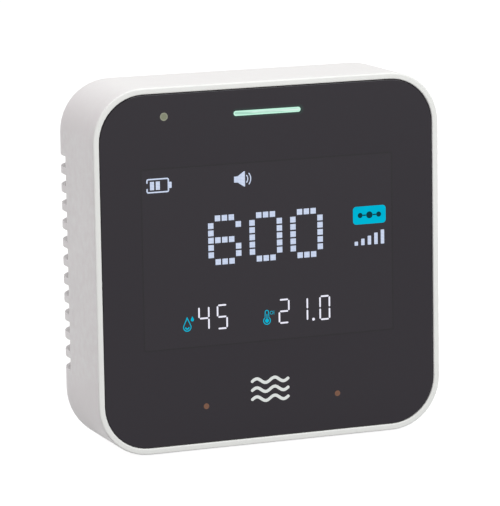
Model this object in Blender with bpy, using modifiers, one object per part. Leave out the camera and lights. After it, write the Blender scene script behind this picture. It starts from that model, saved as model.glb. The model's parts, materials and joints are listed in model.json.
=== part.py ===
"""Indoor air quality monitor: a square desk-top or wall unit with a tinted front window.

Metres, +Z up. The window faces -Y. The origin lies on the surface that the rubber feet
stand on, under the middle of the body.
"""

import math

import bmesh
import bpy
from mathutils import Matrix, Vector

# Overall body
BODY_WIDTH = 0.1000
BODY_HEIGHT = 0.0996
BODY_DEPTH = 0.0375
BODY_CORNER = 0.0143
REAR_FILLET = 0.0120
FRONT_EDGE = 0.0004
WALL = 0.00175
BACK_WALL = 0.0035
GAP = 0.0003

# Ventilation slots that wrap the two rear side edges
VENT_PITCH = 0.00507
VENT_OPENING = 0.0031
VENT_FRONT = 0.0235
VENT_REACH = 0.0100
VENT_END_MARGIN = 0.0050

# Front window and what lies just behind it
WINDOW_THICKNESS = 0.0018
WINDOW_SINK = 0.0002
GASKET_THICKNESS = 0.0006
GASKET_RING = 0.0025
CHASSIS_PLATE = 0.0018
CHASSIS_SKIRT_DEPTH = 0.0040
CHASSIS_SKIRT_WALL = 0.0015

# Display module, set by the borders it leaves on the window
DISPLAY_SIDE_BORDER = 0.01175
DISPLAY_TOP_BORDER = 0.02015
DISPLAY_BOTTOM_BORDER = 0.02665
DISPLAY_DEPTH = 0.0050
DISPLAY_WALL = 0.0012
DISPLAY_MASK = 0.0004
DISPLAY_BOARD = 0.0012
DISPLAY_FIT = 0.0004

# Light pipes: places are measured in from the window's edges
BAR_LENGTH = 0.0196
BAR_HEIGHT = 0.0017
BAR_FROM_TOP = 0.00665
EYE_RADIUS = 0.0011
EYE_FROM_LEFT = 0.01840
EYE_FROM_TOP = 0.00625
TOUCH_RADIUS = 0.0008
TOUCH_FROM_MIDDLE = 0.01925
TOUCH_FROM_BOTTOM = 0.01015
TOUCH_PAD_RADIUS = 0.0050
LED_SIZE = 0.0018
LED_HEIGHT = 0.0008

# Main board
BOARD_THICKNESS = 0.0016
HEADER_LENGTH = 0.0019
HEADER_HEIGHT = 0.0024
BOARD_EDGE = 0.00425
BOARD_CORNER = 0.0030
BOARD_SCREW_CLEAR = 0.0006
BOARD_SCREW_RISE = 0.0220
BOARD_BOSS_RADIUS = 0.0025

# Parts on the main board: width, depth from the board, height
CO2_SENSOR = (0.0130, 0.0090, 0.0260)
MEMBRANE = (0.0080, 0.0006, 0.0160)
HUMIDITY_SENSOR = (0.0030, 0.0010, 0.0030)
CONTROLLER = (0.0120, 0.0012, 0.0120)
BATTERY_SOCKET = (0.0080, 0.0040, 0.0045)
RIBBON_SOCKET = (0.0120, 0.0025, 0.0030)
LIGHT_CHIP = (0.0020, 0.0008, 0.0020)
BUZZER_RADIUS = 0.0070
BUZZER_DEPTH = 0.0075
SOUND_HOLE = 0.0006
SOUND_RING = 0.0026
SOUND_COUNT = 6
RIBBON_WIDTH = 0.0100
RIBBON_THICKNESS = 0.0004

# Rear cover in its recess
COVER_MARGIN = 0.0013
COVER_THICKNESS = 0.0020
COVER_CORNER = 0.0050
COVER_LEDGE = 0.0037
OPENING_CORNER = 0.0160
KEYHOLE_RADIUS = 0.0042
KEYHOLE_SLOT = 0.0042
KEYHOLE_TRAVEL = 0.0070
KEYHOLE_SPACING = 0.0400
KEYHOLE_TOP_MARGIN = 0.0060

# Case screws through cover and housing into the chassis posts
SCREW_SINK = 0.0003
POST_INSET = 0.0032
POST_RADIUS = 0.0032
CASE_SCREW = {"head": 0.0022, "head_depth": 0.0008, "shank": 0.0010, "length": 0.0140}
BOARD_SCREW = {"head": 0.0019, "head_depth": 0.0011, "shank": 0.0008, "length": 0.0055}

# Charging board behind the lower part of the cover
REAR_BOARD_HEIGHT = 0.0130
REAR_BOARD_THICKNESS = 0.0012
REAR_BOARD_FROM_BACK = 0.0099
REAR_BOARD_SIDE = 0.0040
REAR_BOARD_BOTTOM = 0.0020
REAR_BOSS_RADIUS = 0.0022
REAR_BOSS_INSET = 0.0030
USB_WIDTH = 0.0090
USB_HEIGHT = 0.0032
USB_SINK = 0.0005
USB_SHELL = 0.0003
SWITCH_SIZE = 0.0062
SWITCH_DEPTH = 0.0035
PLUNGER_RADIUS = 0.0013
PLUNGER_LENGTH = 0.0016
PLUNGER_PROUD = 0.0006
BUTTON_RADIUS = 0.0032
BUTTON_LIP = 0.0008
BUTTON_FLANGE_DEPTH = 0.0008
BUTTON_SINK = 0.0003
BUTTON_STEM = 0.0015

# Battery in its cradle on the cover
BATTERY_DEPTH = 0.0070
BATTERY_SIDE = 0.0070
BATTERY_CORNER = 0.0020
CRADLE_WALL = 0.0012
CRADLE_SPACE = 0.0020
BATTERY_PAD = 0.0006
LEAD_RADIUS = 0.0008

# Rubber feet in shallow pockets
FOOT_RADIUS = 0.0035
FOOT_PROUD = 0.0006
FOOT_POCKET = 0.0006
FOOT_INSET = 0.0037
FOOT_FRONT = 0.0065
FOOT_REAR_MARGIN = 0.0040

# Values worked out from the ones above
EDGE_FILLET = min(REAR_FILLET, BODY_CORNER - WALL)
HALF_WIDTH = BODY_WIDTH / 2
HALF_HEIGHT = BODY_HEIGHT / 2
MIDDLE = FOOT_PROUD + HALF_HEIGHT
WINDOW_WIDTH = BODY_WIDTH - 2 * WALL
WINDOW_HEIGHT = BODY_HEIGHT - 2 * WALL
WINDOW_CORNER = BODY_CORNER - WALL
WINDOW_BACK = WINDOW_SINK + WINDOW_THICKNESS
GASKET_FRONT = WINDOW_BACK + GAP
CHASSIS_FRONT = GASKET_FRONT + GASKET_THICKNESS + GAP
CHASSIS_BACK = CHASSIS_FRONT + CHASSIS_PLATE
CHASSIS_WIDTH = WINDOW_WIDTH - 2 * GAP
CHASSIS_HEIGHT = WINDOW_HEIGHT - 2 * GAP
CAVITY_BACK = BODY_DEPTH - BACK_WALL
DISPLAY_WIDTH = WINDOW_WIDTH - 2 * DISPLAY_SIDE_BORDER
DISPLAY_HEIGHT = WINDOW_HEIGHT - DISPLAY_TOP_BORDER - DISPLAY_BOTTOM_BORDER
DISPLAY_RISE = (DISPLAY_BOTTOM_BORDER - DISPLAY_TOP_BORDER) / 2
DISPLAY_FRONT = WINDOW_BACK + GAP
CASE_FRONT = DISPLAY_FRONT + DISPLAY_MASK + GAP
CASE_BACK = CASE_FRONT + DISPLAY_DEPTH
HEADER_FRONT = CASE_BACK + GAP + DISPLAY_BOARD + GAP
BOARD_DEPTH = HEADER_FRONT + HEADER_LENGTH + GAP
BAR_RISE = WINDOW_HEIGHT / 2 - BAR_FROM_TOP
EYE_X = EYE_FROM_LEFT - WINDOW_WIDTH / 2
EYE_RISE = WINDOW_HEIGHT / 2 - EYE_FROM_TOP
TOUCH_RISE = TOUCH_FROM_BOTTOM - WINDOW_HEIGHT / 2
BOARD_BACK = BOARD_DEPTH + BOARD_THICKNESS
BOARD_HALF_WIDTH = WINDOW_WIDTH / 2 - BOARD_EDGE
BOARD_HALF_HEIGHT = WINDOW_HEIGHT / 2 - BOARD_EDGE
BOARD_SCREW_X = DISPLAY_WIDTH / 2 + DISPLAY_FIT + BOARD_BOSS_RADIUS + BOARD_SCREW_CLEAR
COVER_HALF_WIDTH = HALF_WIDTH - EDGE_FILLET - COVER_MARGIN
COVER_HALF_HEIGHT = HALF_HEIGHT - EDGE_FILLET - COVER_MARGIN
COVER_FRONT = BODY_DEPTH - COVER_THICKNESS
OPENING_HALF_WIDTH = COVER_HALF_WIDTH - COVER_LEDGE
OPENING_HALF_HEIGHT = COVER_HALF_HEIGHT - COVER_LEDGE
POST_X = COVER_HALF_WIDTH - POST_INSET
POST_RISE = COVER_HALF_HEIGHT - POST_INSET
POST_END = CAVITY_BACK - GAP
REAR_BOARD_HALF_WIDTH = OPENING_HALF_WIDTH - REAR_BOARD_SIDE
REAR_BOARD_RISE = REAR_BOARD_BOTTOM + REAR_BOARD_HEIGHT / 2 - OPENING_HALF_HEIGHT
REAR_BOARD_BACK = BODY_DEPTH - REAR_BOARD_FROM_BACK
REAR_BOARD_FRONT = REAR_BOARD_BACK - REAR_BOARD_THICKNESS
REAR_BOSS_X = REAR_BOARD_HALF_WIDTH - REAR_BOSS_INSET
BUTTON_X = (USB_WIDTH / 2 + REAR_BOSS_X) / 2
KEYHOLE_RISE = OPENING_HALF_HEIGHT - KEYHOLE_TOP_MARGIN - KEYHOLE_TRAVEL
BUZZER_RISE = OPENING_HALF_HEIGHT - BUZZER_RADIUS
CRADLE_BOTTOM = REAR_BOARD_RISE + REAR_BOARD_HEIGHT / 2 + CRADLE_SPACE
CRADLE_TOP = KEYHOLE_RISE - KEYHOLE_RADIUS - CRADLE_SPACE
CRADLE_HALF_WIDTH = OPENING_HALF_WIDTH - BATTERY_SIDE + CRADLE_WALL + GAP
CRADLE_RISE = (CRADLE_BOTTOM + CRADLE_TOP) / 2
BATTERY_WIDTH = 2 * (CRADLE_HALF_WIDTH - CRADLE_WALL - GAP)
BATTERY_HEIGHT = CRADLE_TOP - CRADLE_BOTTOM - 2 * (CRADLE_WALL + GAP)
PAD_BACK = COVER_FRONT - GAP
BATTERY_BACK = PAD_BACK - BATTERY_PAD - GAP
BATTERY_FRONT = BATTERY_BACK - BATTERY_DEPTH
BATTERY_SOCKET_X = REAR_BOSS_X
RIBBON_X = -BUTTON_X
FOOT_X = HALF_WIDTH - BODY_CORNER - FOOT_INSET

ROUND_STEPS = 16
CORNER_STEPS = 7


def clear_scene():
    for item in list(bpy.data.objects):
        bpy.data.objects.remove(item, do_unlink=True)


def new_collection(name):
    group = bpy.data.collections.new(name)
    bpy.context.scene.collection.children.link(group)
    return group


def new_material(name, colour, roughness, metallic=0.0):
    made = bpy.data.materials.new(name)
    made.use_nodes = True
    shader = made.node_tree.nodes["Principled BSDF"]
    shader.inputs["Base Color"].default_value = (*colour, 1.0)
    shader.inputs["Roughness"].default_value = roughness
    shader.inputs["Metallic"].default_value = metallic
    made.diffuse_color = (*colour, 1.0)
    return made


def at(x, depth, rise):
    """World place of a point given from the middle, the front face and the body's centre."""
    return Vector((x, depth - BODY_DEPTH / 2, MIDDLE + rise))


def block(shape, size, place=(0, 0, 0), corner=0.0, along="Y", steps=CORNER_STEPS):
    """Add a box; a corner radius rounds its four edges along one axis."""
    points = bmesh.ops.create_cube(shape, size=1.0)["verts"]
    bmesh.ops.scale(shape, vec=size, verts=points)
    bmesh.ops.translate(shape, vec=place, verts=points)
    if corner > 0:
        axis = "XYZ".index(along)
        edges = {edge for point in points for edge in point.link_edges}
        run = [e for e in edges if abs((e.verts[0].co - e.verts[1].co)[axis]) > size[axis] / 2]
        bmesh.ops.bevel(
            shape, geom=run, offset=corner, segments=steps, profile=0.5, affect="EDGES"
        )


def round_face_edge(shape, depth, radius, steps):
    """Round the outline of the flat face that lies at one depth."""
    near = radius / 50
    rim = [
        edge
        for edge in shape.edges
        if all(abs(point.co.y - depth) < near for point in edge.verts)
    ]
    bmesh.ops.bevel(
        shape, geom=rim, offset=radius, segments=steps, profile=0.5, affect="EDGES"
    )


def rod(shape, radius, front, back, x=0.0, z=0.0, steps=ROUND_STEPS):
    """Add a cylinder along Y from one depth to another."""
    turn = Matrix.Rotation(math.pi / 2, 4, "X")
    move = Matrix.Translation((x, (front + back) / 2, z))
    bmesh.ops.create_cone(
        shape,
        cap_ends=True,
        segments=steps,
        radius1=radius,
        radius2=radius,
        depth=back - front,
        matrix=move @ turn,
    )


def place_object(name, shape, place, material=None):
    """Make an object of a shape: a part when it has a material, else a cutter."""
    data = bpy.data.meshes.new(name)
    shape.to_mesh(data)
    shape.free()
    item = bpy.data.objects.new(name, data)
    item.location = place
    if material is None:
        cutters.objects.link(item)
        item.hide_render = True
        item.display_type = "WIRE"
        return item
    data.materials.append(material)
    data.shade_smooth()
    data.set_sharp_from_angle(angle=math.radians(35))
    parts.objects.link(item)
    item.parent = anchor
    return item


def combine(item, tool, operation="DIFFERENCE"):
    """Cut a part with a tool, or join the tool to it."""
    step = item.modifiers.new(tool.name, "BOOLEAN")
    step.operation = operation
    step.solver = "EXACT"
    step.object = tool


def four_corners(x, rise):
    return [(side * x, up * rise) for up in (1, -1) for side in (-1, 1)]


def make_housing():
    """One-piece shell: rim, sides and rounded rear edge, open at the front and the back."""
    shape = bmesh.new()
    size = (BODY_WIDTH, BODY_DEPTH, BODY_HEIGHT)
    block(shape, size, (0, BODY_DEPTH / 2, 0), BODY_CORNER)
    round_face_edge(shape, BODY_DEPTH, EDGE_FILLET, 6)
    round_face_edge(shape, 0, FRONT_EDGE, 2)
    housing = place_object("housing", shape, at(0, 0, 0), white_plastic)

    shape = bmesh.new()
    reach = CAVITY_BACK + GAP
    size = (WINDOW_WIDTH, reach, WINDOW_HEIGHT)
    block(shape, size, (0, CAVITY_BACK - reach / 2, 0), WINDOW_CORNER)
    round_face_edge(shape, CAVITY_BACK, EDGE_FILLET - 2 * WALL, 5)
    combine(housing, place_object("housing_cavity", shape, at(0, 0, 0)))

    shape = bmesh.new()
    size = (2 * OPENING_HALF_WIDTH, 3 * BACK_WALL, 2 * OPENING_HALF_HEIGHT)
    block(shape, size, (0, BODY_DEPTH - BACK_WALL, 0), OPENING_CORNER)
    combine(housing, place_object("housing_rear_opening", shape, at(0, 0, 0)))

    shape = bmesh.new()
    recess = COVER_THICKNESS + GAP
    size = (2 * (COVER_HALF_WIDTH + GAP), 2 * recess, 2 * (COVER_HALF_HEIGHT + GAP))
    block(shape, size, (0, BODY_DEPTH, 0), COVER_CORNER + GAP)
    combine(housing, place_object("housing_cover_recess", shape, at(0, 0, 0)))

    shape = bmesh.new()
    for x, rise in four_corners(POST_X, POST_RISE):
        rod(shape, CASE_SCREW["shank"] + GAP, CAVITY_BACK - WALL, BODY_DEPTH, x, rise)
    combine(housing, place_object("housing_screw_holes", shape, at(0, 0, 0)))

    combine(housing, vent_cutter())
    combine(housing, foot_pocket_cutter())


def vent_rises():
    """Centre heights of the slots, from the straight part of the side."""
    straight = BODY_HEIGHT - 2 * BODY_CORNER - 2 * VENT_END_MARGIN
    count = int(straight / VENT_PITCH)
    first = (count - 1) * VENT_PITCH / 2
    return [first - number * VENT_PITCH for number in range(count)]


def vent_cutter():
    shape = bmesh.new()
    length = BODY_DEPTH - VENT_FRONT + WALL
    for side in (-1, 1):
        for rise in vent_rises():
            block(
                shape,
                (2 * VENT_REACH, length, VENT_OPENING),
                (side * HALF_WIDTH, VENT_FRONT + length / 2, rise),
            )
    return place_object("vent_slots", shape, at(0, 0, 0))


def foot_places():
    back = BODY_DEPTH - EDGE_FILLET - FOOT_REAR_MARGIN
    return [(side * FOOT_X, depth) for depth in (FOOT_FRONT, back) for side in (-1, 1)]


def foot_pocket_cutter():
    shape = bmesh.new()
    for x, depth in foot_places():
        bmesh.ops.create_cone(
            shape,
            cap_ends=True,
            segments=ROUND_STEPS,
            radius1=FOOT_RADIUS + GAP,
            radius2=FOOT_RADIUS + GAP,
            depth=2 * FOOT_POCKET,
            matrix=Matrix.Translation((x, depth, -HALF_HEIGHT)),
        )
    return place_object("foot_pockets", shape, at(0, 0, 0))


def make_feet():
    """Four rubber pads, each glued in its pocket."""
    height = FOOT_PROUD + FOOT_POCKET - GAP
    for number, (x, depth) in enumerate(foot_places(), 1):
        shape = bmesh.new()
        bmesh.ops.create_cone(
            shape,
            cap_ends=True,
            segments=ROUND_STEPS,
            radius1=FOOT_RADIUS,
            radius2=FOOT_RADIUS,
            depth=height,
        )
        place = at(x, depth, -HALF_HEIGHT - FOOT_PROUD + height / 2)
        place_object(f"foot_{number}", shape, place, black_rubber)


def make_window():
    """Tinted flat front window and the foam ring that bonds it to the chassis."""
    shape = bmesh.new()
    size = (WINDOW_WIDTH - GAP, WINDOW_THICKNESS, WINDOW_HEIGHT - GAP)
    block(shape, size, corner=WINDOW_CORNER - GAP / 2)
    middle = WINDOW_SINK + WINDOW_THICKNESS / 2
    place_object("window", shape, at(0, middle, 0), tinted_glass)

    middle = GASKET_FRONT + GASKET_THICKNESS / 2
    shape = bmesh.new()
    size = (CHASSIS_WIDTH, GASKET_THICKNESS, CHASSIS_HEIGHT)
    block(shape, size, corner=WINDOW_CORNER - GAP)
    gasket = place_object("window_gasket", shape, at(0, middle, 0), black_foam)
    shape = bmesh.new()
    inner = 2 * GASKET_RING
    size = (CHASSIS_WIDTH - inner, 2 * GASKET_THICKNESS, CHASSIS_HEIGHT - inner)
    block(shape, size, corner=WINDOW_CORNER - GAP - GASKET_RING)
    combine(gasket, place_object("gasket_hole", shape, at(0, middle, 0)))


def make_chassis():
    """Black inner frame: carries window, display and board, and takes the case screws."""
    shape = bmesh.new()
    depth = CHASSIS_PLATE + CHASSIS_SKIRT_DEPTH
    middle = CHASSIS_FRONT + depth / 2
    size = (CHASSIS_WIDTH, depth, CHASSIS_HEIGHT)
    block(shape, size, (0, middle, 0), WINDOW_CORNER - GAP)
    chassis = place_object("chassis", shape, at(0, 0, 0), black_plastic)

    shape = bmesh.new()
    skirt = 2 * CHASSIS_SKIRT_WALL
    size = (CHASSIS_WIDTH - skirt, 2 * CHASSIS_SKIRT_DEPTH, CHASSIS_HEIGHT - skirt)
    corner = WINDOW_CORNER - GAP - CHASSIS_SKIRT_WALL
    block(shape, size, (0, CHASSIS_BACK + CHASSIS_SKIRT_DEPTH, 0), corner)
    combine(chassis, place_object("chassis_pocket", shape, at(0, 0, 0)))

    shape = bmesh.new()
    root = CHASSIS_BACK - CHASSIS_PLATE / 2
    for x, rise in four_corners(POST_X, POST_RISE):
        rod(shape, POST_RADIUS, root, POST_END, x, rise)
    for x, rise in four_corners(BOARD_SCREW_X, BOARD_SCREW_RISE):
        rod(shape, BOARD_BOSS_RADIUS, root, BOARD_DEPTH - GAP, x, rise)
    combine(chassis, place_object("chassis_posts", shape, at(0, 0, 0)), "UNION")

    shape = bmesh.new()
    tip = BODY_DEPTH - SCREW_SINK - CASE_SCREW["head_depth"] - CASE_SCREW["length"]
    for x, rise in four_corners(POST_X, POST_RISE):
        rod(shape, CASE_SCREW["shank"] + GAP, tip - GAP, BODY_DEPTH, x, rise, 8)
    tip = BOARD_BACK + GAP - BOARD_SCREW["length"]
    for x, rise in four_corners(BOARD_SCREW_X, BOARD_SCREW_RISE):
        rod(shape, BOARD_SCREW["shank"] + GAP, tip - GAP, BOARD_BACK, x, rise, 8)
    size = (DISPLAY_WIDTH + 2 * DISPLAY_FIT, 4 * CHASSIS_PLATE, DISPLAY_HEIGHT + 2 * DISPLAY_FIT)
    block(shape, size, (0, CHASSIS_FRONT, DISPLAY_RISE))
    size = (BAR_LENGTH + 2 * GAP, 4 * CHASSIS_PLATE, BAR_HEIGHT + 2 * GAP)
    block(shape, size, (0, CHASSIS_FRONT, BAR_RISE))
    through = CHASSIS_BACK + GAP
    rod(shape, EYE_RADIUS + GAP, 0, through, EYE_X, EYE_RISE, 12)
    for side in (-1, 1):
        rod(shape, TOUCH_RADIUS + GAP, 0, through, side * TOUCH_FROM_MIDDLE, TOUCH_RISE, 12)
    combine(chassis, place_object("chassis_holes", shape, at(0, 0, 0)))


def make_display():
    """LED display module: mask sheet, light-shield case, its own board and pin header."""
    shape = bmesh.new()
    size = (DISPLAY_WIDTH - 2 * GAP, DISPLAY_MASK, DISPLAY_HEIGHT - 2 * GAP)
    block(shape, size)
    middle = DISPLAY_FRONT + DISPLAY_MASK / 2
    place_object("display_mask", shape, at(0, middle, DISPLAY_RISE), black_film)

    shape = bmesh.new()
    middle = CASE_FRONT + DISPLAY_DEPTH / 2
    block(shape, (DISPLAY_WIDTH, DISPLAY_DEPTH, DISPLAY_HEIGHT))
    case = place_object("display_case", shape, at(0, middle, DISPLAY_RISE), black_plastic)
    shape = bmesh.new()
    wall = 2 * DISPLAY_WALL
    size = (DISPLAY_WIDTH - wall, DISPLAY_DEPTH, DISPLAY_HEIGHT - wall)
    block(shape, size, (0, DISPLAY_WALL, 0))
    combine(case, place_object("display_case_hollow", shape, at(0, middle, DISPLAY_RISE)))
    shape = bmesh.new()
    for x, rise, width, height in display_windows():
        block(shape, (width, 4 * DISPLAY_WALL, height), (x, -DISPLAY_DEPTH / 2, rise))
    combine(case, place_object("display_case_windows", shape, at(0, middle, DISPLAY_RISE)))

    shape = bmesh.new()
    block(shape, (DISPLAY_WIDTH, DISPLAY_BOARD, DISPLAY_HEIGHT))
    front = CASE_BACK + GAP
    middle = front + DISPLAY_BOARD / 2
    place_object("display_board", shape, at(0, middle, DISPLAY_RISE), green_board)

    shape = bmesh.new()
    block(shape, (DISPLAY_WIDTH / 2, HEADER_LENGTH, HEADER_HEIGHT))
    rise = DISPLAY_RISE - DISPLAY_HEIGHT / 2 + HEADER_HEIGHT
    place = at(0, HEADER_FRONT + HEADER_LENGTH / 2, rise)
    place_object("display_header", shape, place, black_plastic)


def display_windows():
    """Light openings in the case, top row, middle row and bottom row."""
    rows = []
    third = DISPLAY_HEIGHT / 3
    bar = 2 * DISPLAY_WALL
    half = DISPLAY_WIDTH / 2 - bar
    for row in (1, 0, -1):
        for side in (-1, 1):
            rows.append((side * (half + bar / 2) / 2, row * third, half - bar, third - bar))
    return rows


def make_light_pipes():
    """Clear pipes that carry light between the window and the main board."""
    led_front = BOARD_DEPTH - GAP - LED_HEIGHT
    end = led_front - GAP
    length = end - WINDOW_BACK - GAP
    middle = WINDOW_BACK + GAP + length / 2

    shape = bmesh.new()
    block(shape, (BAR_LENGTH, length, BAR_HEIGHT), corner=BAR_HEIGHT * 0.49, steps=4)
    place_object("status_light_bar", shape, at(0, middle, BAR_RISE), milky_plastic)
    for number, x in enumerate((-BAR_LENGTH / 3, 0, BAR_LENGTH / 3), 1):
        make_led(f"status_led_{number}", x, BAR_RISE)

    shape = bmesh.new()
    rod(shape, EYE_RADIUS, -length / 2, length / 2, steps=12)
    place_object("light_sensor_pipe", shape, at(EYE_X, middle, EYE_RISE), milky_plastic)
    shape = bmesh.new()
    block(shape, LIGHT_CHIP)
    place = at(EYE_X, BOARD_DEPTH - GAP - LIGHT_CHIP[1] / 2, EYE_RISE)
    place_object("light_sensor", shape, place, black_plastic)

    for side, word in ((-1, "left"), (1, "right")):
        x = side * TOUCH_FROM_MIDDLE
        shape = bmesh.new()
        rod(shape, TOUCH_RADIUS, -length / 2, length / 2, steps=12)
        name = f"touch_light_pipe_{word}"
        place_object(name, shape, at(x, middle, TOUCH_RISE), amber_plastic)
        make_led(f"touch_led_{word}", x, TOUCH_RISE)
        make_touch_pad(f"touch_pad_{word}", x)


def make_led(name, x, rise):
    shape = bmesh.new()
    block(shape, (LED_SIZE, LED_HEIGHT, LED_SIZE))
    place_object(name, shape, at(x, BOARD_DEPTH - GAP - LED_HEIGHT / 2, rise), milky_plastic)


def make_touch_pad(name, x):
    """Conductive ring behind the window, around its light pipe."""
    middle = GASKET_FRONT + GASKET_THICKNESS / 2
    half = GASKET_THICKNESS / 2
    shape = bmesh.new()
    rod(shape, TOUCH_PAD_RADIUS, -half, half)
    pad = place_object(name, shape, at(x, middle, TOUCH_RISE), black_foam)
    shape = bmesh.new()
    rod(shape, 2 * TOUCH_RADIUS, -2 * half, 2 * half, steps=12)
    combine(pad, place_object(name + "_hole", shape, at(x, middle, TOUCH_RISE)))


def make_main_board():
    shape = bmesh.new()
    size = (2 * BOARD_HALF_WIDTH, BOARD_THICKNESS, 2 * BOARD_HALF_HEIGHT)
    block(shape, size, corner=BOARD_CORNER, steps=3)
    middle = BOARD_DEPTH + BOARD_THICKNESS / 2
    board = place_object("main_board", shape, at(0, middle, 0), green_board)
    shape = bmesh.new()
    reach = 2 * BOARD_THICKNESS
    for x, rise in four_corners(POST_X, POST_RISE):
        rod(shape, POST_RADIUS + GAP, -reach, reach, x, rise)
    for x, rise in four_corners(BOARD_SCREW_X, BOARD_SCREW_RISE):
        rod(shape, BOARD_SCREW["shank"] + GAP, -reach, reach, x, rise, 12)
    combine(board, place_object("main_board_holes", shape, at(0, middle, 0)))

    for number, (x, rise) in enumerate(four_corners(BOARD_SCREW_X, BOARD_SCREW_RISE), 1):
        make_screw(f"board_screw_{number}", BOARD_SCREW, x, BOARD_BACK + GAP, rise)

    edge = BOARD_HALF_WIDTH - GAP
    on_board("co2_sensor", CO2_SENSOR, CO2_SENSOR[0] / 2 - edge, 0, white_cap)
    above = BOARD_BACK + CO2_SENSOR[1] + GAP
    on_board("co2_membrane", MEMBRANE, CO2_SENSOR[0] / 2 - edge, 0, white_cap, above)
    on_board("humidity_sensor", HUMIDITY_SENSOR, edge - HUMIDITY_SENSOR[0], 0, black_plastic)
    on_board("controller", CONTROLLER, 0, 0, black_plastic)
    x = BATTERY_SOCKET_X
    on_board("battery_socket", BATTERY_SOCKET, x, REAR_BOARD_RISE, white_cap)
    on_board("ribbon_socket_main", RIBBON_SOCKET, RIBBON_X, REAR_BOARD_RISE, black_plastic)

    shape = bmesh.new()
    rod(shape, BUZZER_RADIUS, -BUZZER_DEPTH / 2, BUZZER_DEPTH / 2, steps=24)
    place = at(0, BOARD_BACK + GAP + BUZZER_DEPTH / 2, BUZZER_RISE)
    buzzer = place_object("buzzer", shape, place, black_plastic)
    shape = bmesh.new()
    rod(shape, BUZZER_RADIUS / 5, BUZZER_DEPTH / 4, BUZZER_DEPTH, steps=12)
    combine(buzzer, place_object("buzzer_sound_hole", shape, place))


def on_board(name, size, x, rise, material, surface=BOARD_BACK):
    """Set a block-shaped component on the back of the main board, or on another part."""
    shape = bmesh.new()
    block(shape, size)
    place_object(name, shape, at(x, surface + GAP + size[1] / 2, rise), material)


def make_screw(name, kind, x, seat, rise, facing=1):
    """Turned pan-head screw along Y; the head's seat is at the given depth."""
    shank = kind["shank"]
    length = kind["length"]
    outline = [
        (0, kind["head_depth"]),
        (kind["head"] * 0.8, kind["head_depth"]),
        (kind["head"], kind["head_depth"] / 2),
        (kind["head"], 0),
        (shank, 0),
        (shank, shank - length),
        (0, -length),
    ]
    shape = bmesh.new()
    points = [shape.verts.new((radius, 0, height)) for radius, height in outline]
    for first, second in zip(points, points[1:]):
        shape.edges.new((first, second))
    place = at(x, seat, rise)
    screw = place_object(name, shape, place, bright_steel)
    screw.rotation_euler = (-facing * math.pi / 2, 0, 0)
    turn = screw.modifiers.new("turned", "SCREW")
    turn.steps = 12
    turn.render_steps = 12
    turn.use_merge_vertices = True
    turn.merge_threshold = 0.00001


def make_rear_cover():
    """Flat screwed cover with wall keyholes, battery cradle and charging-board bosses."""
    shape = bmesh.new()
    size = (2 * COVER_HALF_WIDTH, COVER_THICKNESS, 2 * COVER_HALF_HEIGHT)
    middle = COVER_FRONT + COVER_THICKNESS / 2
    block(shape, size, (0, middle, 0), COVER_CORNER, steps=4)
    cover = place_object("rear_cover", shape, at(0, 0, 0), white_plastic)

    root = COVER_FRONT + COVER_THICKNESS / 4
    front = BATTERY_FRONT + BATTERY_DEPTH / 2
    shape = bmesh.new()
    size = (2 * CRADLE_HALF_WIDTH, root - front, CRADLE_TOP - CRADLE_BOTTOM)
    block(shape, size, (0, (root + front) / 2, CRADLE_RISE))
    for side in (-1, 1):
        front = REAR_BOARD_BACK + GAP
        rod(shape, REAR_BOSS_RADIUS, front, root, side * REAR_BOSS_X, REAR_BOARD_RISE)
    combine(cover, place_object("cover_ribs", shape, at(0, 0, 0)), "UNION")

    shape = bmesh.new()
    reach = 4 * COVER_THICKNESS
    size = (
        2 * (CRADLE_HALF_WIDTH - CRADLE_WALL),
        BATTERY_DEPTH * 2,
        CRADLE_TOP - CRADLE_BOTTOM - 2 * CRADLE_WALL,
    )
    block(shape, size, (0, COVER_FRONT + GAP / 2 - BATTERY_DEPTH, CRADLE_RISE))
    for x, rise in four_corners(POST_X, POST_RISE):
        rod(shape, CASE_SCREW["shank"] + GAP, COVER_FRONT - GAP, BODY_DEPTH + GAP, x, rise, 12)
    for side in (-1, 1):
        hole = BOARD_SCREW["shank"] + GAP
        tip = REAR_BOARD_FRONT - GAP + BOARD_SCREW["length"] + GAP
        rod(shape, hole, REAR_BOARD_FRONT, tip, side * REAR_BOSS_X, REAR_BOARD_RISE, 12)
        x = side * KEYHOLE_SPACING / 2
        rod(shape, KEYHOLE_RADIUS, COVER_FRONT - GAP, BODY_DEPTH + GAP, x, KEYHOLE_RISE)
    size = (USB_WIDTH + 2 * GAP, reach, USB_HEIGHT + 2 * GAP)
    block(shape, size, (0, BODY_DEPTH, REAR_BOARD_RISE), USB_HEIGHT / 2, steps=4)
    rod(shape, BUTTON_RADIUS + GAP, COVER_FRONT - GAP, BODY_DEPTH + GAP, BUTTON_X, REAR_BOARD_RISE)
    combine(cover, place_object("cover_holes", shape, at(0, 0, 0)))

    shape = bmesh.new()
    sink = SCREW_SINK + CASE_SCREW["head_depth"] + GAP
    for x, rise in four_corners(POST_X, POST_RISE):
        rod(shape, CASE_SCREW["head"] + GAP, BODY_DEPTH - sink, BODY_DEPTH + GAP, x, rise)
    for side in (-1, 1):
        x = side * KEYHOLE_SPACING / 2
        size = (KEYHOLE_SLOT, reach, KEYHOLE_TRAVEL + KEYHOLE_SLOT / 2)
        rise = KEYHOLE_RISE + size[2] / 2
        block(shape, size, (x, BODY_DEPTH, rise), KEYHOLE_SLOT * 0.45, steps=4)
    for x, rise in sound_places():
        rod(shape, SOUND_HOLE, COVER_FRONT - GAP, BODY_DEPTH + GAP, x, BUZZER_RISE + rise, 8)
    combine(cover, place_object("cover_counterbores", shape, at(0, 0, 0)))

    seat = BODY_DEPTH - SCREW_SINK - CASE_SCREW["head_depth"]
    for number, (x, rise) in enumerate(four_corners(POST_X, POST_RISE), 1):
        make_screw(f"case_screw_{number}", CASE_SCREW, x, seat, rise)


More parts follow.
